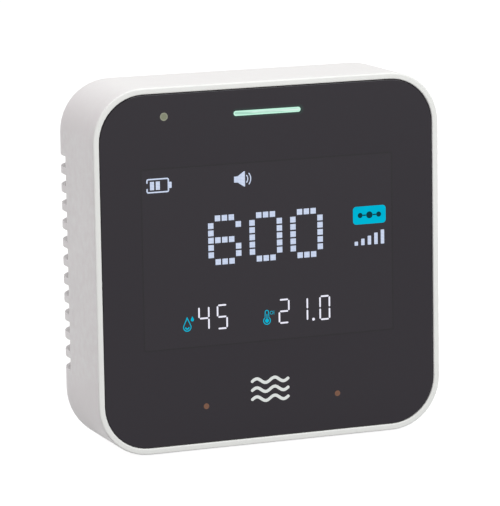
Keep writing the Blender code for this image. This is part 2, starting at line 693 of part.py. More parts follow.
def sound_places():
    """Centre and ring of the small holes behind the buzzer, from the buzzer's axis."""
    step = 2 * math.pi / SOUND_COUNT
    ring = [number * step for number in range(SOUND_COUNT)]
    return [(0, 0)] + [(SOUND_RING * math.cos(a), SOUND_RING * math.sin(a)) for a in ring]


def make_battery():
    shape = bmesh.new()
    size = (BATTERY_WIDTH, BATTERY_DEPTH, BATTERY_HEIGHT)
    block(shape, size, corner=BATTERY_CORNER, along="X", steps=3)
    place = at(0, BATTERY_FRONT + BATTERY_DEPTH / 2, CRADLE_RISE)
    place_object("battery", shape, place, silver_foil)
    shape = bmesh.new()
    size = (BATTERY_WIDTH - BATTERY_SIDE, BATTERY_PAD, BATTERY_HEIGHT - BATTERY_SIDE)
    block(shape, size)
    place_object("battery_pad", shape, at(0, PAD_BACK - BATTERY_PAD / 2, CRADLE_RISE), black_foam)


def make_battery_lead():
    """Short jacketed lead from the front of the battery to its socket on the main board."""
    start = Vector((BATTERY_SOCKET_X - BATTERY_SIDE, BATTERY_FRONT - GAP, CRADLE_RISE))
    depth = BOARD_BACK + GAP + BATTERY_SOCKET[1] / 2
    rise = REAR_BOARD_RISE + BATTERY_SOCKET[2] / 2 + GAP
    end = Vector((BATTERY_SOCKET_X, depth, rise))
    forward = Vector((0, start.y - end.y, 0))
    upward = Vector((0, 0, (start.z - end.z) / 2))
    handles = (start, start - forward, end + upward, end)
    line = bpy.data.curves.new("battery_lead", "CURVE")
    line.dimensions = "3D"
    line.bevel_depth = LEAD_RADIUS
    line.bevel_resolution = 2
    line.use_fill_caps = True
    run = line.splines.new("POLY")
    count = 13
    run.points.add(count - 1)
    for number in range(count):
        share = number / (count - 1)
        rest = 1 - share
        weights = (rest**3, 3 * rest**2 * share, 3 * rest * share**2, share**3)
        spot = sum((w * h for w, h in zip(weights, handles)), Vector())
        run.points[number].co = (*spot, 1)
    lead = bpy.data.objects.new("battery_lead", line)
    lead.location = at(0, 0, 0)
    line.materials.append(black_rubber)
    parts.objects.link(lead)
    lead.parent = anchor


def make_rear_board():
    """Charging board: socket, power switch, ribbon to the main board, two screws."""
    shape = bmesh.new()
    size = (2 * REAR_BOARD_HALF_WIDTH, REAR_BOARD_THICKNESS, REAR_BOARD_HEIGHT)
    block(shape, size)
    place = at(0, REAR_BOARD_FRONT + REAR_BOARD_THICKNESS / 2, REAR_BOARD_RISE)
    board = place_object("charging_board", shape, place, green_board)
    shape = bmesh.new()
    reach = 2 * REAR_BOARD_THICKNESS
    for side in (-1, 1):
        rod(shape, BOARD_SCREW["shank"] + GAP, -reach, reach, side * REAR_BOSS_X, 0, 12)
    combine(board, place_object("charging_board_holes", shape, place))
    for number, side in ((1, -1), (2, 1)):
        name = f"charging_board_screw_{number}"
        seat = REAR_BOARD_FRONT - GAP
        make_screw(name, BOARD_SCREW, side * REAR_BOSS_X, seat, REAR_BOARD_RISE, facing=-1)

    front = REAR_BOARD_BACK + GAP
    length = BODY_DEPTH - USB_SINK - front
    shape = bmesh.new()
    block(shape, (USB_WIDTH, length, USB_HEIGHT), corner=USB_HEIGHT * 0.45, steps=4)
    place = at(0, front + length / 2, REAR_BOARD_RISE)
    socket = place_object("usb_socket", shape, place, bright_steel)
    shape = bmesh.new()
    inner = USB_HEIGHT - 2 * USB_SHELL
    size = (USB_WIDTH - 2 * USB_SHELL, length, inner)
    block(shape, size, (0, length / 4, 0), inner * 0.45, steps=4)
    combine(socket, place_object("usb_socket_mouth", shape, place))
    shape = bmesh.new()
    size = (USB_WIDTH * 0.7, length * 0.6, USB_HEIGHT / 4)
    floor = front + length / 4 + GAP
    block(shape, size)
    tongue = at(0, floor + size[1] / 2, REAR_BOARD_RISE)
    place_object("usb_tongue", shape, tongue, black_plastic)

    place = at(RIBBON_X, REAR_BOARD_FRONT - GAP - RIBBON_SOCKET[1] / 2, REAR_BOARD_RISE)
    shape = bmesh.new()
    block(shape, RIBBON_SOCKET)
    place_object("ribbon_socket_rear", shape, place, black_plastic)
    make_ribbon()


def make_ribbon():
    """Flat flexible lead between the two boards, with a slight bow."""
    front = BOARD_BACK + RIBBON_SOCKET[1] + 2 * GAP
    back = REAR_BOARD_FRONT - RIBBON_SOCKET[1] - 2 * GAP
    steps = 8
    shape = bmesh.new()
    rows = []
    for number in range(steps + 1):
        share = number / steps
        depth = front + (back - front) * share
        bow = math.sin(math.pi * share) * RIBBON_SOCKET[2] / 2
        rows.append(
            [shape.verts.new((side * RIBBON_WIDTH / 2, depth, bow)) for side in (-1, 1)]
        )
    for low, high in zip(rows, rows[1:]):
        shape.faces.new((low[0], low[1], high[1], high[0]))
    place = at(RIBBON_X, 0, REAR_BOARD_RISE)
    ribbon = place_object("ribbon_lead", shape, place, white_cap)
    skin = ribbon.modifiers.new("thickness", "SOLIDIFY")
    skin.thickness = RIBBON_THICKNESS
    skin.offset = 0


def make_power_button():
    """Push button on the back: cap and switch plunger move together, pressed towards -Y."""
    axis = bpy.data.objects.new("power_button_axis", None)
    axis.location = at(BUTTON_X, BODY_DEPTH - BUTTON_SINK, REAR_BOARD_RISE)
    axis.empty_display_size = BUTTON_RADIUS
    parts.objects.link(axis)
    axis.parent = anchor

    switch_front = REAR_BOARD_BACK + GAP
    switch_back = switch_front + SWITCH_DEPTH
    shape = bmesh.new()
    block(shape, (SWITCH_SIZE, SWITCH_DEPTH, SWITCH_SIZE))
    place = at(BUTTON_X, switch_front + SWITCH_DEPTH / 2, REAR_BOARD_RISE)
    switch = place_object("power_switch", shape, place, black_plastic)
    shape = bmesh.new()
    rod(shape, PLUNGER_RADIUS + GAP, 0, SWITCH_DEPTH, steps=12)
    combine(switch, place_object("power_switch_bore", shape, place))

    plunger_back = switch_back + PLUNGER_PROUD
    shape = bmesh.new()
    rod(shape, PLUNGER_RADIUS, -PLUNGER_LENGTH, 0, steps=12)
    place = Vector((0, plunger_back - BODY_DEPTH + BUTTON_SINK, 0))
    plunger = place_object("switch_plunger", shape, place, white_cap)
    plunger.parent = axis

    flange_back = COVER_FRONT - GAP
    top = BODY_DEPTH - BUTTON_SINK
    shape = bmesh.new()
    rod(shape, BUTTON_RADIUS, flange_back - BUTTON_FLANGE_DEPTH / 2 - top, 0)
    cap = place_object("power_button", shape, Vector(), grey_plastic)
    cap.parent = axis
    flange_front = flange_back - BUTTON_FLANGE_DEPTH
    shape = bmesh.new()
    rod(shape, BUTTON_RADIUS + BUTTON_LIP, flange_front - top, flange_back - top)
    flange = place_object("power_button_flange", shape, axis.location)
    combine(cap, flange, "UNION")
    shape = bmesh.new()
    tip = plunger_back + GAP - top
    rod(shape, BUTTON_STEM, tip, flange_back - BUTTON_FLANGE_DEPTH / 2 - top, steps=12)
    combine(cap, place_object("power_button_stem", shape, axis.location), "UNION")


clear_scene()
parts = new_collection("air_quality_monitor")
cutters = new_collection("cutters")
anchor = bpy.data.objects.new("air_quality_monitor_origin", None)
parts.objects.link(anchor)

white_plastic = new_material("white_plastic", (0.86, 0.86, 0.85), 0.42)
tinted_glass = new_material("tinted_glass", (0.012, 0.012, 0.014), 0.08)
black_plastic = new_material("black_plastic", (0.015, 0.015, 0.017), 0.55)
black_film = new_material("black_film", (0.008, 0.008, 0.009), 0.35)
black_foam = new_material("black_foam", (0.020, 0.020, 0.020), 0.90)
black_rubber = new_material("black_rubber", (0.030, 0.030, 0.032), 0.80)
milky_plastic = new_material("milky_plastic", (0.70, 0.85, 0.78), 0.30)
amber_plastic = new_material("amber_plastic", (0.45, 0.20, 0.10), 0.35)
grey_plastic = new_material("grey_plastic", (0.55, 0.55, 0.55), 0.45)
white_cap = new_material("white_cap", (0.75, 0.75, 0.72), 0.50)
green_board = new_material("green_board", (0.03, 0.16, 0.07), 0.45)
silver_foil = new_material("silver_foil", (0.62, 0.62, 0.64), 0.35, 0.8)
bright_steel = new_material("bright_steel", (0.60, 0.60, 0.60), 0.30, 1.0)

make_housing()
make_feet()
make_window()
make_chassis()
make_display()
make_light_pipes()
make_main_board()
make_rear_cover()
make_battery()
make_battery_lead()
make_rear_board()
make_power_button()
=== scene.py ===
import json
import math
import bmesh
import bpy
from mathutils import Matrix, Vector
from mathutils.geometry import tessellate_polygon


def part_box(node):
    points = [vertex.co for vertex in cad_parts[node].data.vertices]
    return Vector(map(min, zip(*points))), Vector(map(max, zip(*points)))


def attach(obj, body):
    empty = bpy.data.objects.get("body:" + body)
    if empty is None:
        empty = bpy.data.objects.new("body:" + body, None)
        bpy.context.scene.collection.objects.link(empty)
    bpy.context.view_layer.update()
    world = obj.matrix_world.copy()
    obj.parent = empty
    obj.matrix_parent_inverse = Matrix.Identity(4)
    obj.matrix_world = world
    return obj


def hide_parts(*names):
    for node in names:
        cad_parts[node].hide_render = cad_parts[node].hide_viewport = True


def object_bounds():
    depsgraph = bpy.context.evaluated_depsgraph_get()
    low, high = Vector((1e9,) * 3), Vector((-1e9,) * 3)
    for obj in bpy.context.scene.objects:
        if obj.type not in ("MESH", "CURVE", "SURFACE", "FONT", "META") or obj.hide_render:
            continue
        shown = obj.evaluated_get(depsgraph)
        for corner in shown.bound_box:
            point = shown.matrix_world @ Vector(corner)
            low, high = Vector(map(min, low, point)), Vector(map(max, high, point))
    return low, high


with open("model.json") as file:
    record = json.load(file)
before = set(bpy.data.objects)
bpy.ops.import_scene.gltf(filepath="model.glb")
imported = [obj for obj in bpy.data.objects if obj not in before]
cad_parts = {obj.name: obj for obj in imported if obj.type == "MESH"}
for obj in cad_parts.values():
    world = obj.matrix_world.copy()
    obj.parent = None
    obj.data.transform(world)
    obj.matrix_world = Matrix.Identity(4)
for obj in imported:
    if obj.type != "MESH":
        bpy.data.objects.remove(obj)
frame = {"nodes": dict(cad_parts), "record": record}
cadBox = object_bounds()
print("frame loaded with", len(frame["nodes"]), "nodes")

mm = 0.001
caseLow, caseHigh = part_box("housing")
paneLow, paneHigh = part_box("window")
coverLow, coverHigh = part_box("rear_cover")
caseMiddle = (caseLow + caseHigh) / 2
paneMiddle = (paneLow + paneHigh) / 2


# small helpers for shapes

def boxOf(node):
    # middle and half size of a node's box
    low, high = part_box(node)
    return (low + high) / 2, (high - low) / 2


def boxInMm(node):
    middle, half = boxOf(node)
    return middle / mm, half / mm


def arcPoints(x, z, radius, start, end, steps):
    spread = [math.radians(start + (end - start) * step / steps) for step in range(steps + 1)]
    return [(x + radius * math.cos(turn), z + radius * math.sin(turn)) for turn in spread]


def roundedBox(x, z, halfWidth, halfHeight, corner, steps=6):
    wide = halfWidth - corner
    high = halfHeight - corner
    points = arcPoints(x + wide, z + high, corner, 0, 90, steps)
    points += arcPoints(x - wide, z + high, corner, 90, 180, steps)
    points += arcPoints(x - wide, z - high, corner, 180, 270, steps)
    return points + arcPoints(x + wide, z - high, corner, 270, 360, steps)


def strokeLoop(points, width, capSteps=5):
    # outline of a pen stroke with round ends that follows the points
    spots = [Vector(point) for point in points]
    runs = [(b - a).normalized() for a, b in zip(spots, spots[1:])]
    left = []
    right = []
    for number, spot in enumerate(spots):
        before = runs[max(number - 1, 0)]
        after = runs[min(number, len(runs) - 1)]
        lean = (before + after).normalized()
        side = Vector((-lean.y, lean.x)) * (width / 2) / max(lean.dot(after), 0.5)
        left.append(spot + side)
        right.append(spot - side)
    tailTurn = math.degrees(math.atan2(runs[-1].y, runs[-1].x))
    headTurn = math.degrees(math.atan2(runs[0].y, runs[0].x))
    tail = arcPoints(*spots[-1], width / 2, tailTurn + 90, tailTurn - 90, capSteps)[1:-1]
    head = arcPoints(*spots[0], width / 2, headTurn - 90, headTurn - 270, capSteps)[1:-1]
    return [tuple(p) for p in left] + tail + [tuple(p) for p in reversed(right)] + head


def keepMesh(item):
    # final mesh of an object with its modifiers, and the object itself is dropped
    graph = bpy.context.evaluated_depsgraph_get()
    mesh = bpy.data.meshes.new_from_object(item.evaluated_get(graph))
    bpy.data.objects.remove(item, do_unlink=True)
    return mesh


def showObject(name, data):
    item = bpy.data.objects.new(name, data)
    bpy.context.scene.collection.objects.link(item)
    return item


def roundEdge(radius, steps):
    # quarter round, as (in from the side, down from the face) from the face to the side
    turns = [math.radians(90 * step / steps) for step in range(steps + 1)]
    return [(radius * (1 - math.sin(turn)), radius * (1 - math.cos(turn))) for turn in turns]


def insetLoop(loop, distance):
    # moves an outline to its left by a distance
    spots = [Vector(point) for point in loop]
    moved = []
    for number, spot in enumerate(spots):
        before = (spot - spots[number - 1]).normalized()
        after = (spots[(number + 1) % len(spots)] - spot).normalized()
        lean = (before + after).normalized()
        share = max(lean.dot(after), 0.4)
        moved.append(spot + Vector((-lean.y, lean.x)) * distance / share)
    return moved


def sheetMesh(loops, thickness, edge=0.0, edgeSteps=3):
    # flat outline with holes in it, given a thickness and, where wanted, round edges
    turned = [loops[0]] + [list(reversed(loop)) for loop in loops[1:]]
    half = thickness / 2
    levels = [(0.0, -half), (0.0, half)]
    if edge > 0:
        rounded = [(inset, half - drop) for inset, drop in roundEdge(edge, edgeSteps)]
        levels = [(inset, -level) for inset, level in rounded] + rounded[::-1]
    shape = bmesh.new()
    flats = ([], [])
    for loop in turned:
        rings = []
        for inset, level in levels:
            outline = insetLoop(loop, inset) if inset > 0 else loop
            rings.append([shape.verts.new((x, z, level)) for x, z in outline])
        for low, high in zip(rings, rings[1:]):
            for number in range(len(loop)):
                after = (number + 1) % len(loop)
                shape.faces.new((low[number], low[after], high[after], high[number]))
        flats[0].append(rings[0])
        flats[1].append(rings[-1])
    for rings in flats:
        points = [point for ring in rings for point in ring]
        for triple in tessellate_polygon([[point.co for point in ring] for ring in rings]):
            shape.faces.new([points[number] for number in triple])
    bmesh.ops.recalc_face_normals(shape, faces=shape.faces)
    mesh = bpy.data.meshes.new("sheet")
    shape.to_mesh(mesh)
    shape.free()
    return mesh


def circleLoop(x, z, radius, steps=20):
    return arcPoints(x, z, radius, 0, 360, steps)[:-1]


def pieceOf(name, meshes, material, place=None, smooth=40):
    # one finished piece with its place in its mesh
    shape = bmesh.new()
    for mesh in meshes:
        if place is not None:
            mesh.transform(place)
        shape.from_mesh(mesh)
        bpy.data.meshes.remove(mesh)
    return finishShape(name, shape, material, smooth)


def finishShape(name, shape, material, smooth=40):
    bmesh.ops.remove_doubles(shape, verts=shape.verts, dist=2e-7)
    bmesh.ops.recalc_face_normals(shape, faces=shape.faces)
    data = bpy.data.meshes.new(name)
    shape.to_mesh(data)
    shape.free()
    data.materials.clear()
    data.materials.append(material)
    data.shade_smooth()
    data.set_sharp_from_angle(angle=math.radians(smooth))
    return showObject(name, data)


def softenEdges(piece, width, segments, angle):
    # small rounded edges, with the flat faces kept flat in the light
    bevel = piece.modifiers.new("edges", "BEVEL")
    bevel.width = width
    bevel.segments = segments
    bevel.limit_method = "ANGLE"
    bevel.angle_limit = math.radians(angle)
    piece.data.shade_smooth()
    return keepFlats(piece)


def keepFlats(piece):
    # evens the shading of the flat faces beside small rounded edges
    weigh = piece.modifiers.new("flats", "WEIGHTED_NORMAL")
    weigh.keep_sharp = True
    name = piece.name
    data = keepMesh(piece)
    data.name = name
    return showObject(name, data)


def loftShape(rows, closed=False):
    # skin between rings of points; the ends are capped, or the last ring meets the first
    shape = bmesh.new()
    rings = [[shape.verts.new(point) for point in row] for row in rows]
    pairs = list(zip(rings, rings[1:]))
    if closed:
        pairs.append((rings[-1], rings[0]))
    for low, high in pairs:
        for number in range(len(low)):
            after = (number + 1) % len(low)
            shape.faces.new((low[number], low[after], high[after], high[number]))
    if not closed:
        shape.faces.new(rings[0])
        shape.faces.new(rings[-1])
    return shape, rings


def ringAt(x, z, halfWidth, halfHeight, corner, y, steps=6):
    return [(px, y, pz) for px, pz in roundedBox(x, z, halfWidth, halfHeight, corner, steps)]


def turnedShape(x, z, outline, steps=32):
    # lathe about a line along Y through x, z; outline is (radius, y) from end to end
    rows = []
    for radius, y in outline:
        if radius > 0:
            rows.append([(px, y, pz) for px, pz in arcPoints(x, z, radius, 0, 360, steps)[:-1]])
    return loftShape(rows)[0]


def facingFront(y, z):
    # stands a flat drawing up so that its face looks towards -Y
    return Matrix.Translation((0, y, z)) @ Matrix.Rotation(math.radians(90), 4, "X")


def fitPiece(piece, nodes=(), body="case"):
    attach(piece, body)
    if nodes:
        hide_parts(*nodes)
    return piece


# shader groups that several finishes share

def calc(tree, operation, first, second=None, clamp=False):
    node = tree.nodes.new("ShaderNodeMath")
    node.operation = operation
    node.use_clamp = clamp
    for socket, value in zip(node.inputs, (first, second)):
        if value is None:
            continue
        if isinstance(value, (int, float)):
            socket.default_value = value
        else:
            tree.links.new(value, socket)
    return node.outputs[0]


def newGroup(name, inputs, outputs):
    tree = bpy.data.node_groups.new(name, "ShaderNodeTree")
    for label, kind, value in inputs:
        socket = tree.interface.new_socket(label, in_out="INPUT", socket_type=kind)
        if value is not None:
            socket.default_value = value
    for label in outputs:
        tree.interface.new_socket(label, in_out="OUTPUT", socket_type="NodeSocketFloat")
    return tree, tree.nodes.new("NodeGroupInput"), tree.nodes.new("NodeGroupOutput")


def noiseIn(tree, vector, scale, detail=3.0, rough=0.55):
    node = tree.nodes.new("ShaderNodeTexNoise")
    node.inputs["Detail"].default_value = detail
    node.inputs["Roughness"].default_value = rough
    if isinstance(scale, (int, float)):
        node.inputs["Scale"].default_value = scale
    else:
        tree.links.new(scale, node.inputs["Scale"])
    tree.links.new(vector, node.inputs["Vector"])
    return node.outputs["Fac"]


def rangeOf(tree, value, low, high, outLow=0.0, outHigh=1.0, smooth=False):
    node = tree.nodes.new("ShaderNodeMapRange")
    node.interpolation_type = "SMOOTHSTEP" if smooth else "LINEAR"
    settings = (("From Min", low), ("From Max", high), ("To Min", outLow), ("To Max", outHigh))
    for label, number in settings:
        if isinstance(number, (int, float)):
            node.inputs[label].default_value = number
        else:
            tree.links.new(number, node.inputs[label])
    tree.links.new(value, node.inputs["Value"])
    return node.outputs["Result"]


def makeMouldGrain():
    # spark-eroded mould texture: fine grain over a slow unevenness
    inputs = (("Vector", "NodeSocketVector", None), ("Grain", "NodeSocketFloat", 5200.0),
              ("Unevenness", "NodeSocketFloat", 140.0))
    tree, given, made = newGroup("mouldGrain", inputs, ("Height", "Tone"))
    fine = noiseIn(tree, given.outputs["Vector"], given.outputs["Grain"], 2.0)
    slow = noiseIn(tree, given.outputs["Vector"], given.outputs["Unevenness"], 4.0)
    speck = tree.nodes.new("ShaderNodeTexVoronoi")
    tree.links.new(given.outputs["Vector"], speck.inputs["Vector"])
    tree.links.new(given.outputs["Grain"], speck.inputs["Scale"])
    body = calc(tree, "MULTIPLY_ADD", speck.outputs["Distance"], 0.45)
    tree.links.new(calc(tree, "MULTIPLY", fine, 0.55), body.node.inputs[2])
    tree.links.new(body, made.inputs["Height"])
    tree.links.new(rangeOf(tree, slow, 0.3, 0.7), made.inputs["Tone"])
    return tree


def makeEdgeWear():
    # rubbed outer edges, broken up so that they aren't even
    inputs = (("Vector", "NodeSocketVector", None), ("Spread", "NodeSocketFloat", 0.05),
              ("Patches", "NodeSocketFloat", 420.0))
    tree, given, made = newGroup("edgeWear", inputs, ("Mask",))
    surface = tree.nodes.new("ShaderNodeNewGeometry")
    top = calc(tree, "ADD", given.outputs["Spread"], 0.5)
    edge = rangeOf(tree, surface.outputs["Pointiness"], 0.505, top)
    patch = rangeOf(tree, noiseIn(tree, given.outputs["Vector"], given.outputs["Patches"]), 0.35, 0.7)
    tree.links.new(calc(tree, "MULTIPLY", edge, patch, clamp=True), made.inputs["Mask"])
    return tree


def makeDustFilm():
    # thin dust that lies on what faces up, and fades on the sides
    inputs = (("Vector", "NodeSocketVector", None), ("Patches", "NodeSocketFloat", 60.0))
    tree, given, made = newGroup("dustFilm", inputs, ("Mask",))
    surface = tree.nodes.new("ShaderNodeNewGeometry")
    split = tree.nodes.new("ShaderNodeSeparateXYZ")
    tree.links.new(surface.outputs["Normal"], split.inputs["Vector"])
    upward = rangeOf(tree, split.outputs["Z"], 0.2, 1.0, 0.15, 1.0)
    patch = rangeOf(tree, noiseIn(tree, given.outputs["Vector"], given.outputs["Patches"], 5.0), 0.4, 0.75)
    tree.links.new(calc(tree, "MULTIPLY", upward, patch, clamp=True), made.inputs["Mask"])
    return tree


def makeBoxMask():
    # one inside a rounded rectangle in the XZ plane, fading to nothing over the softness
    inputs = [("Vector", "NodeSocketVector", None)]
    for label in ("Middle X", "Middle Z", "Half Width", "Half Height", "Corner", "Softness"):
        inputs.append((label, "NodeSocketFloat", 0.001))
    tree, given, made = newGroup("boxMask", inputs, ("Mask",))
    split = tree.nodes.new("ShaderNodeSeparateXYZ")
    tree.links.new(given.outputs["Vector"], split.inputs["Vector"])
    sides = []
    for axis, middle, half in (("X", "Middle X", "Half Width"), ("Z", "Middle Z", "Half Height")):
        offset = calc(tree, "SUBTRACT", split.outputs[axis], given.outputs[middle])
        away = calc(tree, "ABSOLUTE", offset)
        inner = calc(tree, "SUBTRACT", given.outputs[half], given.outputs["Corner"])
        sides.append(calc(tree, "SUBTRACT", away, inner))
    squares = [calc(tree, "POWER", calc(tree, "MAXIMUM", side, 0.0), 2.0) for side in sides]
    outside = calc(tree, "SQRT", calc(tree, "ADD", squares[0], squares[1]))
    inside = calc(tree, "MINIMUM", calc(tree, "MAXIMUM", sides[0], sides[1]), 0.0)
    distance = calc(tree, "SUBTRACT", calc(tree, "ADD", outside, inside), given.outputs["Corner"])
    fade = rangeOf(tree, distance, 0.0, given.outputs["Softness"], 1.0, 0.0, smooth=True)
    tree.links.new(fade, made.inputs["Mask"])
    return tree


def makeBrushedLines():
    # fine drawn lines along one way
    inputs = (("Vector", "NodeSocketVector", None), ("Lines", "NodeSocketFloat", 3000.0))
    tree, given, made = newGroup("brushedLines", inputs, ("Height", "Tone"))
    stretch = tree.nodes.new("ShaderNodeMapping")
    stretch.inputs["Scale"].default_value = (0.06, 1.0, 1.0)
    tree.links.new(given.outputs["Vector"], stretch.inputs["Vector"])
    line = noiseIn(tree, stretch.outputs["Vector"], given.outputs["Lines"], 2.0)
    tree.links.new(line, made.inputs["Height"])
    tree.links.new(rangeOf(tree, line, 0.35, 0.65), made.inputs["Tone"])
    return tree


def makeCellGrid():
    # the display's fine square cells, as dark lines between them
    inputs = (("Vector", "NodeSocketVector", None), ("Pitch", "NodeSocketFloat", 0.0004))
    tree, given, made = newGroup("cellGrid", inputs, ("Mask",))
    split = tree.nodes.new("ShaderNodeSeparateXYZ")
    tree.links.new(given.outputs["Vector"], split.inputs["Vector"])
    lines = []
    for axis in ("X", "Z"):
        cell = calc(tree, "FRACT", calc(tree, "DIVIDE", split.outputs[axis], given.outputs["Pitch"]))
        away = calc(tree, "ABSOLUTE", calc(tree, "SUBTRACT", cell, 0.5))
        lines.append(rangeOf(tree, away, 0.30, 0.42))
    tree.links.new(calc(tree, "MAXIMUM", lines[0], lines[1]), made.inputs["Mask"])
    return tree


groups = {tree.name: tree for tree in (makeMouldGrain(), makeEdgeWear(), makeDustFilm(),
                                       makeBoxMask(), makeBrushedLines(), makeCellGrid())}
print("shader groups made:", ", ".join(groups))


# finishes

def useGroup(tree, name, vector, **values):
    node = tree.nodes.new("ShaderNodeGroup")
    node.node_tree = groups[name]
    tree.links.new(vector, node.inputs["Vector"])
    for label, value in values.items():
        node.inputs[label.replace("_", " ")].default_value = value
    return node


def mixColour(tree, share, first, second):
    node = tree.nodes.new("ShaderNodeMix")
    node.data_type = "RGBA"
    for socket, value in ((node.inputs[6], first), (node.inputs[7], second)):
        if isinstance(value, tuple):
            socket.default_value = (*value, 1.0)
        else:
            tree.links.new(value, socket)
    tree.links.new(share, node.inputs[0])
    return node.outputs[2]


def startFinish(name, values):
    finish = bpy.data.materials.new(name)
    finish.use_nodes = True
    tree = finish.node_tree
    shader = tree.nodes["Principled BSDF"]
    coords = tree.nodes.new("ShaderNodeTexCoord").outputs["Object"]
    colour = (*values["colour"], 1.0)
    shader.inputs["Base Color"].default_value = colour
    shader.inputs["Roughness"].default_value = values["rough"]
    shader.inputs["Metallic"].default_value = values.get("metal", 0.0)
    shader.inputs["IOR"].default_value = values.get("ior", 1.5)
    shader.inputs["Specular IOR Level"].default_value = values.get("shine", 0.5)
    shader.inputs["Specular Tint"].default_value = (*values.get("tint", (1.0, 1.0, 1.0)), 1.0)
    finish.diffuse_color = colour
    return finish, tree, shader, coords


def addGlow(tree, shader, glow):
    tree.links.new(glow, shader.inputs["Emission Color"])
    shader.inputs["Emission Strength"].default_value = 1.0


def addBump(tree, shader, height, depth, strength):
    bump = tree.nodes.new("ShaderNodeBump")
    bump.inputs["Distance"].default_value = depth
    bump.inputs["Strength"].default_value = strength
    tree.links.new(height, bump.inputs["Height"])
    tree.links.new(bump.outputs["Normal"], shader.inputs["Normal"])


dustColour = (0.55, 0.54, 0.52)


def mouldedFinish(name, values):
    # moulded plastic or rubber: grain, slow tone change, worn edges and a little dust
    finish, tree, shader, coords = startFinish(name, values)
    grain = useGroup(tree, "mouldGrain", coords, Grain=values["grain"], Unevenness=values["uneven"])
    wear = useGroup(tree, "edgeWear", coords, Spread=values["wearSpread"])
    dust = useGroup(tree, "dustFilm", coords)
    tone = mixColour(tree, grain.outputs["Tone"], values["colour"], values["shade"])
    worn = mixColour(tree, wear.outputs["Mask"], tone, values["worn"])
    dusty = calc(tree, "MULTIPLY", dust.outputs["Mask"], values["dust"])
    tree.links.new(mixColour(tree, dusty, worn, dustColour), shader.inputs["Base Color"])
    rubbed = calc(tree, "MULTIPLY", wear.outputs["Mask"], -values["polish"])
    least = values["rough"] - 0.04
    most = values["rough"] + 0.05
    rough = calc(tree, "ADD", rangeOf(tree, grain.outputs["Tone"], 0.0, 1.0, least, most), rubbed)
    rough = calc(tree, "ADD", rough, calc(tree, "MULTIPLY", dusty, 0.3), clamp=True)
    tree.links.new(rough, shader.inputs["Roughness"])
    addBump(tree, shader, grain.outputs["Height"], values["bumpDepth"], values["bump"])
    return finish


def litFinish(name, values):
    # a lit figure under the glossy window, or a printed mark given painted glow: glow that is a little
    # stronger in the middle
    finish, tree, shader, coords = startFinish(name, values)
    grain = useGroup(tree, "mouldGrain", coords, Grain=values["grain"], Unevenness=values["uneven"])
    glow = mixColour(tree, grain.outputs["Tone"], values["glow"], values["glowShade"])
    if "cell" in values:
        grid = useGroup(tree, "cellGrid", coords, Pitch=values["cell"] * mm)
        glow = mixColour(tree, grid.outputs["Mask"], glow, values["cellLine"])
    addGlow(tree, shader, glow)
    rough = rangeOf(tree, grain.outputs["Tone"], 0.0, 1.0, values["rough"], values["rough"] + 0.03)
    tree.links.new(rough, shader.inputs["Roughness"])
    return finish


def metalFinish(name, values):
    finish, tree, shader, coords = startFinish(name, values)
    lines = useGroup(tree, "brushedLines", coords, Lines=values["lines"])
    wear = useGroup(tree, "edgeWear", coords, Spread=0.04)
    tone = mixColour(tree, lines.outputs["Tone"], values["colour"], values["shade"])
    tree.links.new(mixColour(tree, wear.outputs["Mask"], tone, values["worn"]), shader.inputs["Base Color"])
    rough = rangeOf(tree, lines.outputs["Tone"], 0.0, 1.0, values["rough"] - 0.06, values["rough"] + 0.08)
    tree.links.new(rough, shader.inputs["Roughness"])
    addBump(tree, shader, lines.outputs["Height"], values["bumpDepth"], values["bump"])
    return finish


